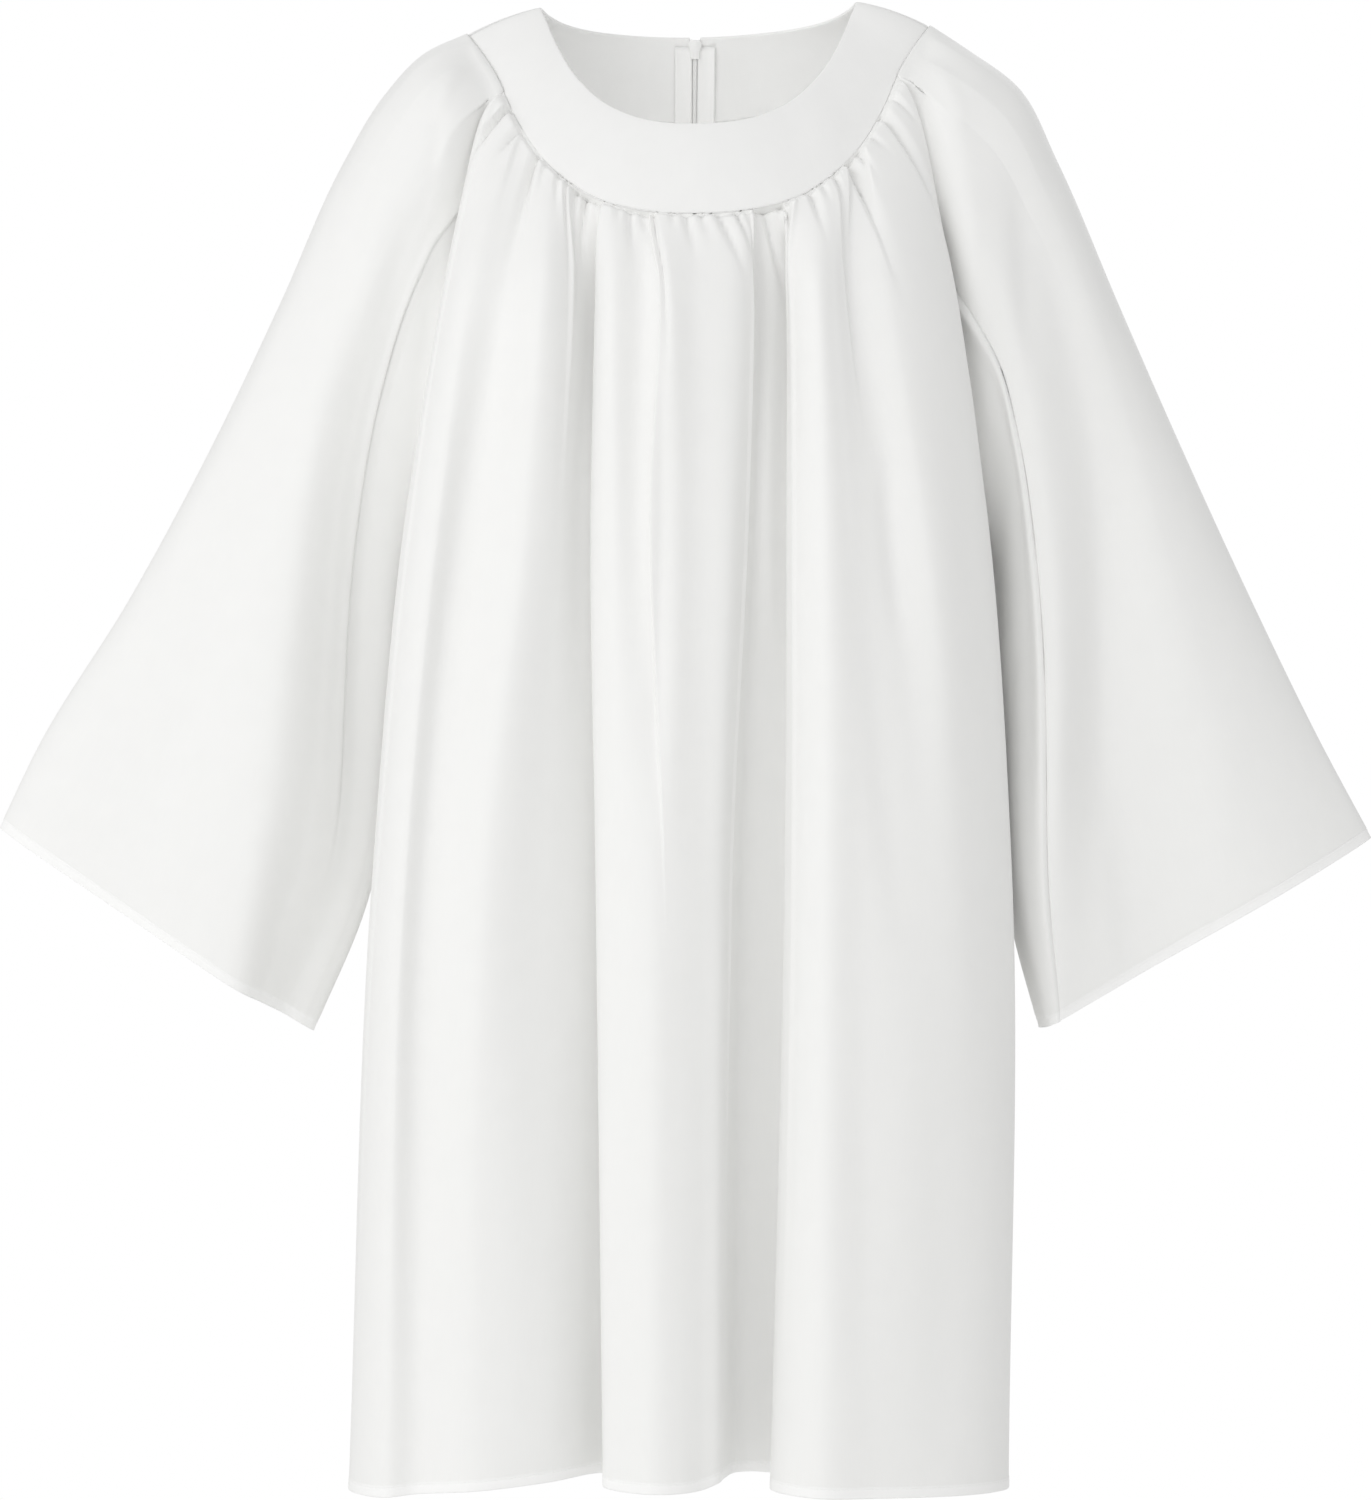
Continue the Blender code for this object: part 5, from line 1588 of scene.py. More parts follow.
@dataclass
class RaglanSleeve:
    """A wide sleeve, round from the underarm seam over the front, the top and the back."""

    side: Side
    flat: tuple[float, float]
    flat_area: float
    spacing: float = 3.2
    near_rows: float = 0.12
    near_power: float = 1.25
    cuff_start: float = 0.975
    crease_start: float = 0.03

    @property
    def turn(self) -> float:
        """1 if down crossed with across points outwards, else -1."""
        return -float(self.side.value)

    def folds(self) -> tuple[list[SleeveFold], int]:
        """Folds in order round the sleeve, and the number of the one on top."""
        front = SLEEVE_FRONT[self.side]
        lower = SleeveFold("lower", *[0.0] * 8)
        upper = SleeveFold("upper", *[1.0] * 4, *[0.0] * 4)
        return [lower, *front, upper, *reversed(SLEEVE_BACK)], len(front) + 1

    def armhole(self, columns: Array) -> Array:
        """Armhole points by fold number.

        Each half runs from the underarm up the raglan seam and along the yoke to the
        shoulder, and is read at the share that the fold table gives.

        Args:
            columns: Fractional fold numbers.

        Returns:
            Array (C, 3) in millimetres.
        """
        folds, top = self.folds()
        shares = [fold.w_arm for fold in folds] + [0.0]
        share = np.interp(columns, np.arange(len(shares)), shares)
        found = []
        for back in (False, True):
            rows = np.linspace(2, 0, 90)
            start = SIDES[self.side].back if back else SIDES[self.side].front
            stations = np.linspace(start, FRONT_STATIONS, 16)[1:] * self.side.value
            points = np.vstack([side_edge(self.side, rows, back),
                                RING_CURVE.point(stations, 1.0)])
            run = chord_knots(points)
            found.append(read_along(points, run, share * run[-1]))
        return np.where((columns > top)[:, None], found[1], found[0])

    def outline(self, rows: Array, table: tuple, start: tuple[float, float]) -> Array:
        """Upper or lower outline read at shares of its length, (R, 2)."""
        points = np.array([start, *table], float)
        knots = chord_knots(points)
        at = np.interp(rows * knots[-1], knots, np.arange(len(knots)))
        return spline(points, knots, at)

    def grid(self, rows: Array, columns: Array) -> Array:
        """Points of the sleeve.

        A fold's point lies at its share between the lower and the upper outline, at its
        depth; round each row runs a closed centripetal spline through them. The first rows
        settle on to the armhole.

        Args:
            rows: Shares of the way from the armhole to the cuff.
            columns: Fractional fold numbers.

        Returns:
            Array (R, C, 3) in millimetres.
        """
        folds, _ = self.folds()
        table = np.array([fold[1:] for fold in folds], float)
        shoulder = RING_CURVE.point(self.side.value * FRONT_STATIONS, 1.0)[0]
        upper = self.outline(rows, UPPER_OUTLINE[self.side], (shoulder[0], shoulder[2]))
        lower = self.outline(rows, LOWER_OUTLINE[self.side], (SIDES[self.side].x_chest, Z_CHEST))
        at = np.interp(rows, SLEEVE_LEVELS, np.arange(4))
        place = spline(table[:, 0:4].T, SLEEVE_LEVELS, at)
        depth = spline(table[:, 4:8].T, SLEEVE_LEVELS, at)
        x = lower[:, :1] + (upper - lower)[:, :1] * place
        z = lower[:, 1:] + (upper - lower)[:, 1:] * place
        points = np.stack([x, depth, z], axis=-1)
        ring = np.concatenate([points[:, -2:], points, points[:, :3]], axis=1)
        grid = spline(ring, chord_knots(ring, ROW_POWER, LEAST_CHORD), columns + 2)
        settle = 1 - smooth_step(rows / ARMHOLE_REACH)
        roll = np.clip(1 - rows / ROLL_REACH, 0, 1) ** 2
        shift = self.armhole(columns) - grid[0]
        grid += np.stack([settle, roll, settle], axis=-1)[:, None] * shift
        spread = settle[:, None].copy()
        spread[0] = ARMHOLE_START
        grid[..., 0] += self.side.value * RAGLAN_SPREAD * spread
        grid[1:, :, 1] *= 1 - RAGLAN_NARROWING * spread[1:]
        return grid

    def build(self, wardrobe: Wardrobe) -> bpy.types.Object:
        """Builds the sleeve and its cuff stitches.

        Args:
            wardrobe: The finishes.

        Returns:
            The sleeve.
        """
        near = self.near_rows * np.linspace(0, 1, 22) ** self.near_power
        below = np.linspace(self.near_rows, self.cuff_start, 78)[1:]
        rows = np.concatenate([near, below, 1 - HEM_STEPS / SLEEVE_LENGTH])
        folds, top = self.folds()
        coarse = np.arange(len(folds) + 1, dtype=float)
        ledges = SLEEVE_LEDGES[self.side]
        columns = spread_columns(np.swapaxes(self.grid(rows, coarse), 0, 1), self.spacing, 6)
        columns = add_columns(columns, crisp_places(ledges))[:-1]
        grid = self.grid(rows, columns)
        front = 1 - smooth_step(columns - top + 0.5)[None, :]
        fade = smooth_step(rows / self.crease_start)[:, None]
        height = crease_relief(grid, SLEEVE_CREASES[self.side], front * fade)
        height += crease_relief(grid, SLEEVE_BACK_CREASES[self.side], (1 - front) * fade)
        height += ledge_relief(grid, columns, rows * LEDGE_LEVELS[-1], ledges)
        height += self.seam_puff(grid, columns, top)
        hem, mask = hem_relief(grid)
        grid = grid + self.normals(grid) * (height + hem)[..., None]
        grid[0] += unit(grid[1] - grid[0]) * SEAM_GAP
        name = f"{self.side.label}_raglan_sleeve"
        piece = sheet_mesh(name, grid, self.turn, wrap=True, mask=mask)
        add_wall(piece, CLOTH)
        finish_piece(piece, wardrobe.body, "robe", "robe_cloth", f"sleeve_{self.side.label}")
        normals = self.normals(grid)[STITCH_ROW]
        thread = stitch_line(f"{name}_cuff_stitches", grid[STITCH_ROW], normals, True)
        finish_piece(thread, wardrobe.thread, "robe", "robe_cloth")
        return piece

    def seam_puff(self, grid: Array, columns: Array, top: int) -> Array:
        """Height of the cloth beside the raglan seams, as on the body panels.

        It rises more slowly here, behind a groove SEAM_GROOVE * s * exp(1 - s), where s is
        distance / SEAM_GROOVE_WIDTH, along the upper part of the front seam.

        Args:
            grid: The sleeve's points.
            columns: The column numbers.
            top: Number of the fold on top.

        Returns:
            Array (R, C), nothing at the underarm and over the shoulder.
        """
        away = run_along(grid)
        puff = (1 - np.exp(-away / SLEEVE_PUFF_RISE)) * np.exp(-away / SEAM_PUFF_FADE)
        share = away / SEAM_GROOVE_WIDTH
        above = smooth_step((grid[0, :, 2] - SEAM_GROOVE_FOOT) / SEAM_GROOVE_FADE)
        groove = SEAM_GROOVE * share * np.exp(1 - share) * above * (columns < top)
        from_top = np.abs(columns - top)
        foot = 1 - smooth_step((from_top - top + SLEEVE_PUFF_END) / SLEEVE_PUFF_END_FADE)
        return (SEAM_PUFF * puff - groove) * (smooth_step(from_top - PUFF_END) * foot)

    def normals(self, grid: Array) -> Array:
        """Outward directions of the closed sleeve, reading across its joined columns."""
        wide = np.concatenate([grid[:, -1:], grid, grid[:, :1]], axis=1)
        return outward_of(wide, self.turn)[:, 1:-1]


@dataclass
class YokeBand:
    """One piece of the faced neck band, a closed body with rounded edges."""

    node: str
    first: float
    last: float
    steps: int
    flat: tuple[float, float]
    swell: float = 2.0
    thickness: float = YOKE_CLOTH
    zip_flat: float = 1.2
    zip_flat_fade: float = 0.8
    seam_share: float = 0.37
    face_steps: int = 15
    edge_steps: int = 5
    dents: tuple[tuple[float, float, float], ...] = ((0.30, 2.1, 0.6), (0.22, 3.7, 1.9))

    def profile(self) -> tuple[Array, Array, Array]:
        """Closed profile of the band.

        Returns:
            Share from the neck edge to the seam, offset beyond that share in millimetres and
            depth below the outer face, each (P,): down the outer face, round the seam edge,
            up the inner face and round the neck edge, both as half circles.
        """
        half = self.thickness / 2
        down = np.linspace(0, 1, self.face_steps)
        angle = np.linspace(0, np.pi, self.edge_steps + 2)[1:-1]
        drawn_in = half * (down == 0) - half * (down == 1)
        edge = np.concatenate([down, np.ones(self.edge_steps), down[::-1], np.zeros(self.edge_steps)])
        beyond = np.concatenate([drawn_in, half * np.sin(angle) - half,
                                 drawn_in[::-1], half - half * np.sin(angle)])
        depth = np.concatenate([np.zeros(self.face_steps), half - half * np.cos(angle),
                                np.full(self.face_steps, self.thickness),
                                half + half * np.cos(angle)])
        return edge, beyond, depth

    def build(self, wardrobe: Wardrobe) -> bpy.types.Object:
        """Builds the band.

        The outer face is the ring between the neck edge and the seam, swollen by
        swell * 4 e (1 - e), with soft dents from pressing: the sum of size * sin(turns *
        station + start), as strong as 4 e (1 - e). Both fade out beside the zip.

        Args:
            wardrobe: The finishes.

        Returns:
            The band.
        """
        stations = np.linspace(self.first, self.last, self.steps)
        edge, beyond, depth = self.profile()
        grid = RING_CURVE.point(stations, edge)
        across = np.gradient(RING_CURVE.point(stations, 0.5), axis=0)
        down = RING_CURVE.point(stations, 1.0) - RING_CURVE.point(stations, 0.0)
        outward = unit(np.cross(across, down))
        outward *= np.where(outward[:, 2:] < 0, -1.0, 1.0)
        from_zip = LAST_STATION - np.abs(stations)
        flat = 1 - smooth_step((self.zip_flat - from_zip) / self.zip_flat_fade)
        dents = sum(size * np.sin(stations * turns + start) for size, turns, start in self.dents)
        hump = (4 * edge * (1 - edge))[:, None]
        lift = hump * flat * (self.swell + dents * (depth == 0)[:, None])
        grid = grid + outward * (lift - depth[:, None])[..., None]
        grid = grid + unit(down) * beyond[:, None, None]
        rings = np.swapaxes(grid, 0, 1)
        rings[0] += unit(rings[1] - rings[0]) * SEAM_GAP / 2
        rings[-1] += unit(rings[-2] - rings[-1]) * SEAM_GAP / 2
        least = self.corner_gap(edge, beyond) + CORNER_STEP * np.arange(CORNER_RINGS)[:, None]
        for near, station in ((rings[:CORNER_RINGS], self.first),
                              (rings[:-CORNER_RINGS - 1:-1], self.last)):
            if abs(station) == LAST_STATION:
                sign = math.copysign(1.0, station)
                line = back_line(near[..., 2])
                near[..., 0] = line + sign * np.maximum(sign * (near[..., 0] - line), least)
        piece = loft(f"{self.node}_band", rings)
        self.add_cut(piece, len(stations), len(edge))
        finish_piece(piece, wardrobe.yoke, "robe", "yoke_cloth", self.node)
        return piece

    def corner_gap(self, edge: Array, beyond: Array) -> Array:
        """Half the gap at the zip, wider where the corners of the neck edge are rounded off.

        Args:
            edge: Share from the neck edge to the seam.
            beyond: Offset beyond that share in millimetres.

        Returns:
            ZIP_SLIT + NECK_CORNER_WIDTH * (1 - smooth_step(distance / NECK_CORNER_DEPTH)).
        """
        ends = RING_CURVE.point(LAST_STATION, np.array([0.0, 1.0]))[:, 0]
        run = np.linalg.norm(ends[1] - ends[0])
        corner = 1 - smooth_step((edge * run + beyond) / NECK_CORNER_DEPTH)
        return ZIP_SLIT + NECK_CORNER_WIDTH * corner

    def add_cut(self, piece: bpy.types.Object, rings: int, sides: int) -> None:
        """Gives the band its UV map: along the neck and across the band, in metres.

        Args:
            piece: The band.
            rings: Number of rings along it.
            sides: Number of points round it.
        """
        mesh = piece.data
        corners = np.zeros(len(mesh.loops), np.int32)
        mesh.loops.foreach_get("vertex_index", corners)
        ring, place = corners // sides, corners % sides
        run = ring * self.flat[0] / rings
        layer = mesh.uv_layers.new(name="cut")
        across = np.abs(place / sides - self.seam_share) * 2 * self.flat[1]
        layer.data.foreach_set("uv", np.stack([run, across], -1).astype(np.float32).ravel())


# Slider: distance down and half width.  Bail: down and out.  Pull tab: down and half width,
# then shares of the way from the eye and of the thickness.  Stop: down and share of its size.
SLIDER_PLATE = ((0.4, 2.6), (1.0, 3.4), (2.4, 4.25), (4.3, 4.5), (6.2, 3.95), (8.2, 3.2),
                (10.0, 2.95), (12.0, 3.05), (13.0, 3.25), (13.6, 3.0))
BAIL_PATH = ((3.2, -4.8), (3.2, 1.5), (4.2, 2.7), (5.6, 3.1), (8.0, 3.1), (9.5, 2.6), (10.3, 1.2),
             (10.3, -1.9))
PULL_SIDE = ((-0.6, 0.0), (-0.6, 1.6), (-0.2, 2.2), (1.0, 2.4), (6.0, 2.4), (10.0, 2.6),
             (14.0, 2.9), (19.0, 2.9), (21.4, 2.4), (22.8, 1.3), (23.2, 0.0))
PULL_SECTION = ((0.0, 0.5), (0.06, 0.8), (0.16, 0.95), (0.3, 1.0), (0.7, 1.0), (0.88, 0.95),
                (0.97, 0.75), (1.0, 0.4))
STOP_RINGS = ((0.0, 0.75), (0.15, 0.95), (0.5, 1.0), (1.5, 1.0), (1.85, 0.95), (2.0, 0.75))


@dataclass
class BackZip:
    """The concealed zip: tapes and coil inside, the pull tab outside."""

    backs: dict[Side, BackPanel]
    tape_lift: dict[Side, float]
    top: float = 6.0
    last_row: float = 1.9
    yoke_steps: int = 14
    yoke_end: float = 0.97
    column_steps: int = 30
    clear: float = 0.3
    tape_inner: float = 1.7
    tape_width: float = 12.0
    tape_cloth: float = 0.55
    tape_wave: float = 0.25
    lift_start: float = 0.55
    tape_ribs: tuple[tuple[float, float, float], ...] = ((0.25, 0.93, 0.05), (0.6, 0.02, 0.12))
    coil_pitch: float = 0.95
    coil_wire: float = 0.43
    coil_rise: float = 0.95
    coil_high: float = 0.5
    coil_middle: float = 0.62
    coil_wide: float = 0.66
    coil_start: float = 8.0
    coil_end: float = 5.0
    slider_plate: float = 0.9
    slider_lip: float = 0.8
    slider_throat: float = 1.95
    slider_room: float = 1.6
    slider_crown: float = 0.25
    slider_bevel: float = 0.25
    slider_ridge: float = 0.12
    bail_wire: float = 0.62
    pull_axis: tuple[float, float] = (6.6, 1.5)
    pull_thickness: float = 1.2
    eye_middle: float = 2.8
    eye_half: tuple[float, float] = (2.2, 1.6)
    stop_half: tuple[float, float] = (2.3, 1.5)
    stop_sink: float = 0.8

    def line(self, side: Side, offset: float) -> Array:
        """A line just inside the wall, at a distance beside the centre back.

        It runs down the yoke and then the back panel, and is moved in by the wall there
        plus a small clearance.

        Args:
            side: Side of the zip.
            offset: Distance from the centre back line in millimetres.

        Returns:
            Array (N, 3) in millimetres.
        """
        depth = np.linalg.norm(RING_CURVE.point(LAST_STATION, 1.0)[0]
                               - RING_CURVE.point(LAST_STATION, 0.0)[0])
        edges = np.linspace(self.top / depth, self.yoke_end, self.yoke_steps)
        reach = RING[-2].neck_x + (RING[-2].seam_x - RING[-2].neck_x) * edges
        stations = side.value * (LAST_STATION - offset / reach)
        steps = np.arange(self.yoke_steps)
        on_yoke = RING_CURVE.point(stations, edges)[steps, steps]
        panel = self.backs[side]
        columns = np.linspace(0, 1, self.column_steps)
        grid = panel.base_grid(columns)[panel.rows <= self.last_row]
        away = np.abs(grid[:, :, 0] - grid[:, :1, 0]) + ZIP_SLIT
        near = offset - away
        low = np.clip((near > 0).sum(axis=1) - 1, 0, self.column_steps - 2)
        rows = np.arange(len(grid))
        share = (near[rows, low] / (near[rows, low] - near[rows, low + 1]))[:, None]
        share = np.clip(share, 0, 1)
        on_body = grid[rows, low] * (1 - share) + grid[rows, low + 1] * share
        points = np.vstack([on_yoke, on_body])
        points[:, 0] = back_line(points[:, 2]) + side.value * offset
        down = unit(np.gradient(points, axis=0) * UPRIGHT)
        wall = np.where(np.arange(len(points)) <= self.yoke_steps, YOKE_CLOTH, BODY_WALL)
        return points - np.cross(ACROSS, down) * (wall + self.clear)[:, None]

    def centre_line(self) -> Array:
        """The line down the middle of the zip, (N, 3)."""
        return (self.line(Side.LEFT, 0.01) + self.line(Side.RIGHT, 0.01)) / 2

    def tape(self, side: Side, wardrobe: Wardrobe) -> bpy.types.Object:
        """One tape: a flat strip whose outer selvedge stands a little off the cloth.

        The selvedge waves as tape_wave * sin(run / 9), and two ribs run down the tape, each
        high * exp(-((share - middle) / width)^2): one at the selvedge, one at the coil.

        Args:
            side: Side of the zip.
            wardrobe: The finishes.

        Returns:
            The tape.
        """
        shares = np.linspace(0, 1, 9)
        lines = np.stack([self.line(side, self.tape_inner + s * self.tape_width) for s in shares], 1)
        inward = np.cross(np.gradient(lines, axis=0), np.gradient(lines, axis=1)) * side.value
        run = run_along(lines[:, 0])
        wave = self.tape_lift[side] + self.tape_wave * np.sin(run / 9.0 + side.value)
        lift = smooth_step((shares - self.lift_start) / (1 - self.lift_start)) * wave[:, None]
        ribs = sum(high * bell((shares - middle) / width) for high, middle, width in self.tape_ribs)
        grid = lines + unit(inward) * (lift + ribs)[..., None]
        piece = sheet_mesh(f"zip_tape_{side.label}_knit", grid, -float(side.value))
        add_wall(piece, self.tape_cloth)
        finish_piece(piece, wardrobe.tape, "robe", "zip_tape_cloth", f"zip_tape_{side.label}")
        return piece

    def coil(self, wardrobe: Wardrobe) -> bpy.types.Object:
        """The two rows of coil teeth, closed.

        Each row is a wire wound on an oval: x = coil_middle + coil_wide cos t, height =
        coil_rise + coil_high sin t, moving down the zip by one pitch a turn. The two rows
        are half a turn apart.

        Args:
            wardrobe: The finishes.

        Returns:
            Both rows as one mesh.
        """
        centre = self.centre_line()
        run = run_along(centre)
        turns = int((run[-1] - self.coil_start - self.coil_end) / self.coil_pitch)
        t = np.arange(turns * 6) / 6
        path = read_along(centre, run, self.coil_start + t * self.coil_pitch)
        inward = np.cross(unit(np.gradient(path, axis=0) * UPRIGHT), ACROSS)
        rows = []
        for sign in (-1.0, 1.0):
            phase = 2 * np.pi * (t + 0.25 * sign)
            wound = path + inward * (self.coil_rise + self.coil_high * np.sin(phase))[:, None]
            wound[:, 0] += sign * (self.coil_middle + self.coil_wide * np.cos(phase))
            rows.append(tube_rings(wound, self.coil_wire, 5, np.array([0.0, 0.3, 1.0])))
        piece = loft("zip_coil", rows[0])
        join_pieces(piece, loft("zip_coil_right", rows[1]))
        return finish_piece(piece, wardrobe.tape, "robe", "zip_tape_cloth", "zip_chain")

    def axes(self) -> tuple[Array, Array, Array, Array]:
        """Origin at the neck edge, and the directions across, down and out of the zip."""
        top = RING_CURVE.point(LAST_STATION, 0.0)[0]
        seam = RING_CURVE.point(LAST_STATION, 1.0)[0]
        top[0] = back_line(top[2])
        down = unit((seam - top) * UPRIGHT)
        return top, ACROSS, down, np.cross(ACROSS, down)

    def place(self, points: Array) -> Array:
        """Points given as across, down and out, as places in the robe."""
        origin, across, down, out = self.axes()
        return origin + points @ np.stack([across, down, out])

    def slider(self, wardrobe: Wardrobe) -> bpy.types.Object:
        """The slider: a waisted plate with two lips round the coil, and the bail.

        The plate's half width follows SLIDER_PLATE down its length: narrow top, wide
        shoulders, narrow tail. Its outer face is crowned by slider_crown * sin(pi * share).

        Args:
            wardrobe: The finishes.

        Returns:
            The slider with its bail.
        """
        inside = -(YOKE_CLOTH + self.clear + self.slider_room + self.clear)
        low = inside - self.slider_plate
        lip = inside + self.slider_lip
        rings = []
        for down, half in SLIDER_PLATE:
            crown = low - self.slider_crown * math.sin(math.pi * (down - 0.4) / 13.4)
            side = low + self.slider_bevel
            outline = [(-half, side), (-half * 0.8, crown), (0.0, crown - self.slider_ridge),
                       (half * 0.8, crown), (half, side), (half, lip),
                       (self.slider_throat, lip), (self.slider_throat, inside),
                       (-self.slider_throat, inside), (-self.slider_throat, lip), (-half, lip)]
            rings.append([(x, down, out) for x, out in outline])
        piece = loft("zip_slider_body", self.place(np.array(rings)))
        path = np.array([(0.0, down, out) for down, out in BAIL_PATH])
        fine = spline(path, chord_knots(path), np.linspace(0, len(path) - 1, 40))
        bail = loft("zip_bail", self.place(tube_rings(fine, self.bail_wire, 10, ACROSS)))
        join_pieces(piece, bail)
        return finish_piece(piece, wardrobe.enamel, "robe", "slider_enamel", "zip_slider")

    def pull_tab(self, wardrobe: Wardrobe) -> bpy.types.Object:
        """The pull tab: a drop-shaped plate with an eye for the bail.

        It is a ring: a rounded section carried round between the outer outline and the eye,
        whose points at each angle lie at (|cos / a|^4 + |sin / b|^4)^(-1/4) from its middle.

        Args:
            wardrobe: The finishes.

        Returns:
            The tab, which turns with the body "pull_tab".
        """
        side = np.array(PULL_SIDE)
        outer = np.vstack([side, (side * (1, -1))[-2::-1]])
        run = chord_knots(outer)
        loop = read_along(outer, run, np.linspace(0, run[-1], 72, endpoint=False))
        turn = np.arctan2(loop[:, 1], loop[:, 0] - self.eye_middle)
        ray = np.stack([np.cos(turn), np.sin(turn)], axis=-1)
        size = (np.abs(ray / self.eye_half) ** 4).sum(axis=1) ** -0.25
        eye = ray * size[:, None] + (self.eye_middle, 0.0)
        half = self.pull_thickness / 2
        section = np.array([*PULL_SECTION, *((share, -high) for share, high in PULL_SECTION[::-1])])
        plan = eye[:, None] + (loop - eye)[:, None] * section[None, :, :1]
        height = np.broadcast_to(section[:, 1] * half, plan.shape[:2])
        down, out = self.pull_axis
        points = np.stack([plan[..., 1], plan[..., 0] + down, height + out], axis=-1)
        piece = loft("zip_pull", self.place(points), closed=True)
        return finish_piece(piece, wardrobe.enamel, "pull_tab", "slider_enamel", "zip_pull_tab")

    def bottom_stop(self, wardrobe: Wardrobe) -> bpy.types.Object:
        """The bottom stop: a small rounded block clamped below the coil.

        Args:
            wardrobe: The finishes.

        Returns:
            The stop.
        """
        centre = self.centre_line()
        end, down = centre[-1], unit(centre[-1] - centre[-2])
        angle = np.arange(24) * 2 * np.pi / 24
        ray = np.stack([np.cos(angle), np.sin(angle)], axis=-1)
        shape = np.sign(ray) * np.abs(ray) ** 0.5 * self.stop_half
        along, size = np.array(STOP_RINGS).T[..., None, None]
        wide, high = np.split(shape * size, 2, axis=-1)
        along = along + self.clear
        rings = end + down * along + ACROSS * wide + np.cross(ACROSS, down) * (high - self.stop_sink)
        piece = loft("zip_stop", rings)
        return finish_piece(piece, wardrobe.tape, "robe", "zip_tape_cloth", "zip_bottom_stop")

    def build(self, wardrobe: Wardrobe) -> None:
        """Builds every piece of the zip.

        Args:
            wardrobe: The finishes.
        """
        self.tape(Side.LEFT, wardrobe)
        self.tape(Side.RIGHT, wardrobe)
        self.coil(wardrobe)
        self.bottom_stop(wardrobe)
        self.slider(wardrobe)
        self.pull_tab(wardrobe)


class SoftBox(NamedTuple):
    """A square area light: place and target in metres, side in metres, power in watts."""

    name: str
    place: tuple[float, float, float]
    target: tuple[float, float, float]
    size: float
    power: float


STUDIO_LIGHTS = (
    SoftBox("front_box", (-1.9, -3.0, 0.4), (0, 0, -0.45), 2.0, 28.0),
    SoftBox("right_front_box", (1.3, -3.2, 0.8), (0, 0, -0.45), 2.0, 10.0),
    SoftBox("left_box", (-3.0, -1.2, 0.6), (0, 0, -0.45), 1.8, 10.0),
    SoftBox("back_box", (0.6, 3.0, 1.0), (0, 0, -0.45), 2.5, 26.0),
    SoftBox("neck_box", (0.0, 0.0, -0.28), (0, 0.075, -0.02), 0.07, 0.18),
)


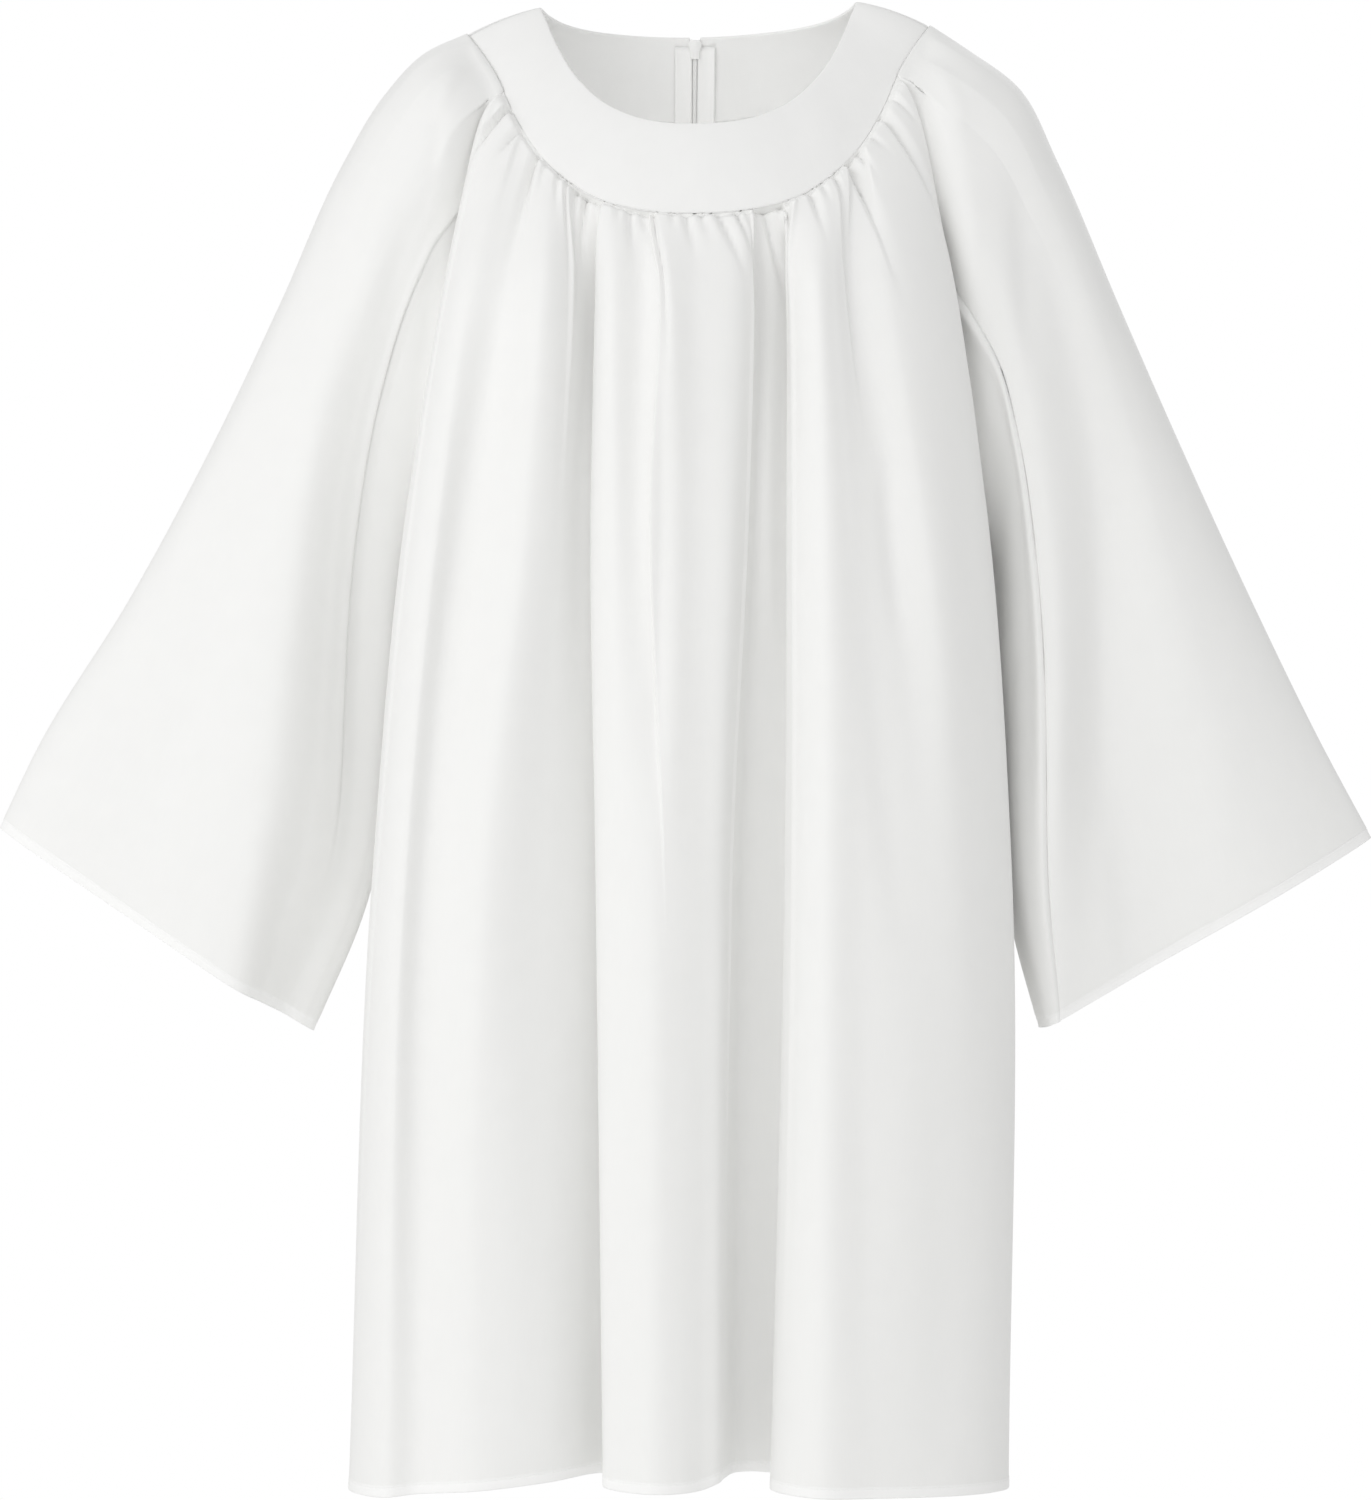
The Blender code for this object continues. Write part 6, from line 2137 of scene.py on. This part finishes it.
@dataclass
class Studio:
    """Pale floor, white surround, soft boxes and the camera."""

    floor_z: float = -1.45
    floor_sides: int = 96
    floor_rings: tuple[tuple[float, float], ...] = (
        (0.001, 0), (0.4, 0), (0.8, 0), (1.2, 0), (1.6, 0), (2.0, 0), (2.2, 0), (2.35, 0),
        (2.39, 0.004), (2.4, 0.016))
    frame_height: float = 0.98
    camera_place: tuple[float, float, float] = (-0.0085, -2.8, -0.487)
    sensor: float = 36.0
    surround: float = 0.65

    def floor(self, wardrobe: Wardrobe) -> None:
        """A round floor with a rounded lip: each ring is (radius cos a, radius sin a, -drop)."""
        radius, drop = np.array(self.floor_rings).T[..., None]
        angle = np.arange(self.floor_sides) * 2 * np.pi / self.floor_sides
        points = np.stack(np.broadcast_arrays(radius * np.cos(angle), radius * np.sin(angle),
                                              self.floor_z - drop), axis=-1)
        floor = loft("studio_floor", points / MM)
        floor.data.materials.append(wardrobe.floor)

    def world(self) -> None:
        """White behind the robe, and an even soft light of `surround` on it."""
        world = bpy.data.worlds.new("studio")
        bpy.context.scene.world = world
        world.use_nodes = True
        world.node_tree.nodes.clear()
        w = Wiring(world.node_tree)
        seen = w.node("ShaderNodeLightPath")
        light = w.node("ShaderNodeBackground", {0: (1.0, 1.0, 1.0, 1.0), 1: self.surround})
        white = w.node("ShaderNodeBackground", {0: (1.0, 1.0, 1.0, 1.0), 1: 1.0})
        mixed = w.node("ShaderNodeMixShader", {0: seen.outputs["Is Camera Ray"],
                                               1: light.outputs[0], 2: white.outputs[0]})
        w.node("ShaderNodeOutputWorld", {0: mixed.outputs[0]})

    def soft_box(self, box: SoftBox) -> None:
        """Adds an area light that looks at its target.

        Args:
            box: Its name, place, target, size and power.
        """
        light = bpy.data.lights.new(box.name, "AREA")
        light.size = box.size
        light.energy = box.power
        holder = bpy.data.objects.new(box.name, light)
        holder.location = box.place
        aim = Vector(box.target) - Vector(box.place)
        holder.rotation_euler = aim.to_track_quat("-Z", "Y").to_euler()
        holder.visible_camera = False
        bpy.context.scene.collection.objects.link(holder)

    def camera(self) -> None:
        """The level camera, framed as the photograph: lens = sensor * distance / height."""
        made = bpy.data.cameras.new("photo_camera")
        made.sensor_fit = "VERTICAL"
        made.sensor_height = self.sensor
        made.lens = self.sensor * -self.camera_place[1] / self.frame_height
        holder = bpy.data.objects.new("photo_camera", made)
        holder.location = self.camera_place
        holder.rotation_euler = (math.pi / 2, 0.0, 0.0)
        bpy.context.scene.collection.objects.link(holder)
        bpy.context.scene.camera = holder

    def build(self, wardrobe: Wardrobe) -> None:
        """Sets up the whole studio.

        Args:
            wardrobe: The finishes, for the floor.
        """
        self.floor(wardrobe)
        self.world()
        for box in STUDIO_LIGHTS:
            self.soft_box(box)
        self.camera()
        bpy.context.scene.view_settings.view_transform = "Standard"


def main() -> None:
    """Builds the robe piece by piece, then the studio."""
    logging.basicConfig(level=logging.INFO)
    wardrobe = Wardrobe()
    edge = FRONT_STATIONS
    for band in (
        YokeBand("yoke_front", -edge, edge, 150, (0.44, 0.06)),
        YokeBand("yoke_back_left", -edge, -LAST_STATION, 70, (0.2, 0.058)),
        YokeBand("yoke_back_right", LAST_STATION, edge, 70, (0.2, 0.058)),
    ):
        band.build(wardrobe)
    for side in Side:
        RaglanSleeve(side, (0.80, 0.68), 0.23).build(wardrobe)
    FrontPanel("gathered_front", "body_front", (0.72, 0.91), 0.60).build(wardrobe)
    backs = {side: BackPanel(f"gathered_back_{side.label}", f"body_back_{side.label}", (0.37, 0.92),
                             0.31, f"yoke_back_{side.label}_band", side=side) for side in Side}
    for back in backs.values():
        back.build(wardrobe)
    BackZip(backs, {Side.LEFT: 0.5, Side.RIGHT: 1.6}).build(wardrobe)
    Studio().build(wardrobe)


if __name__ == "__main__":
    main()
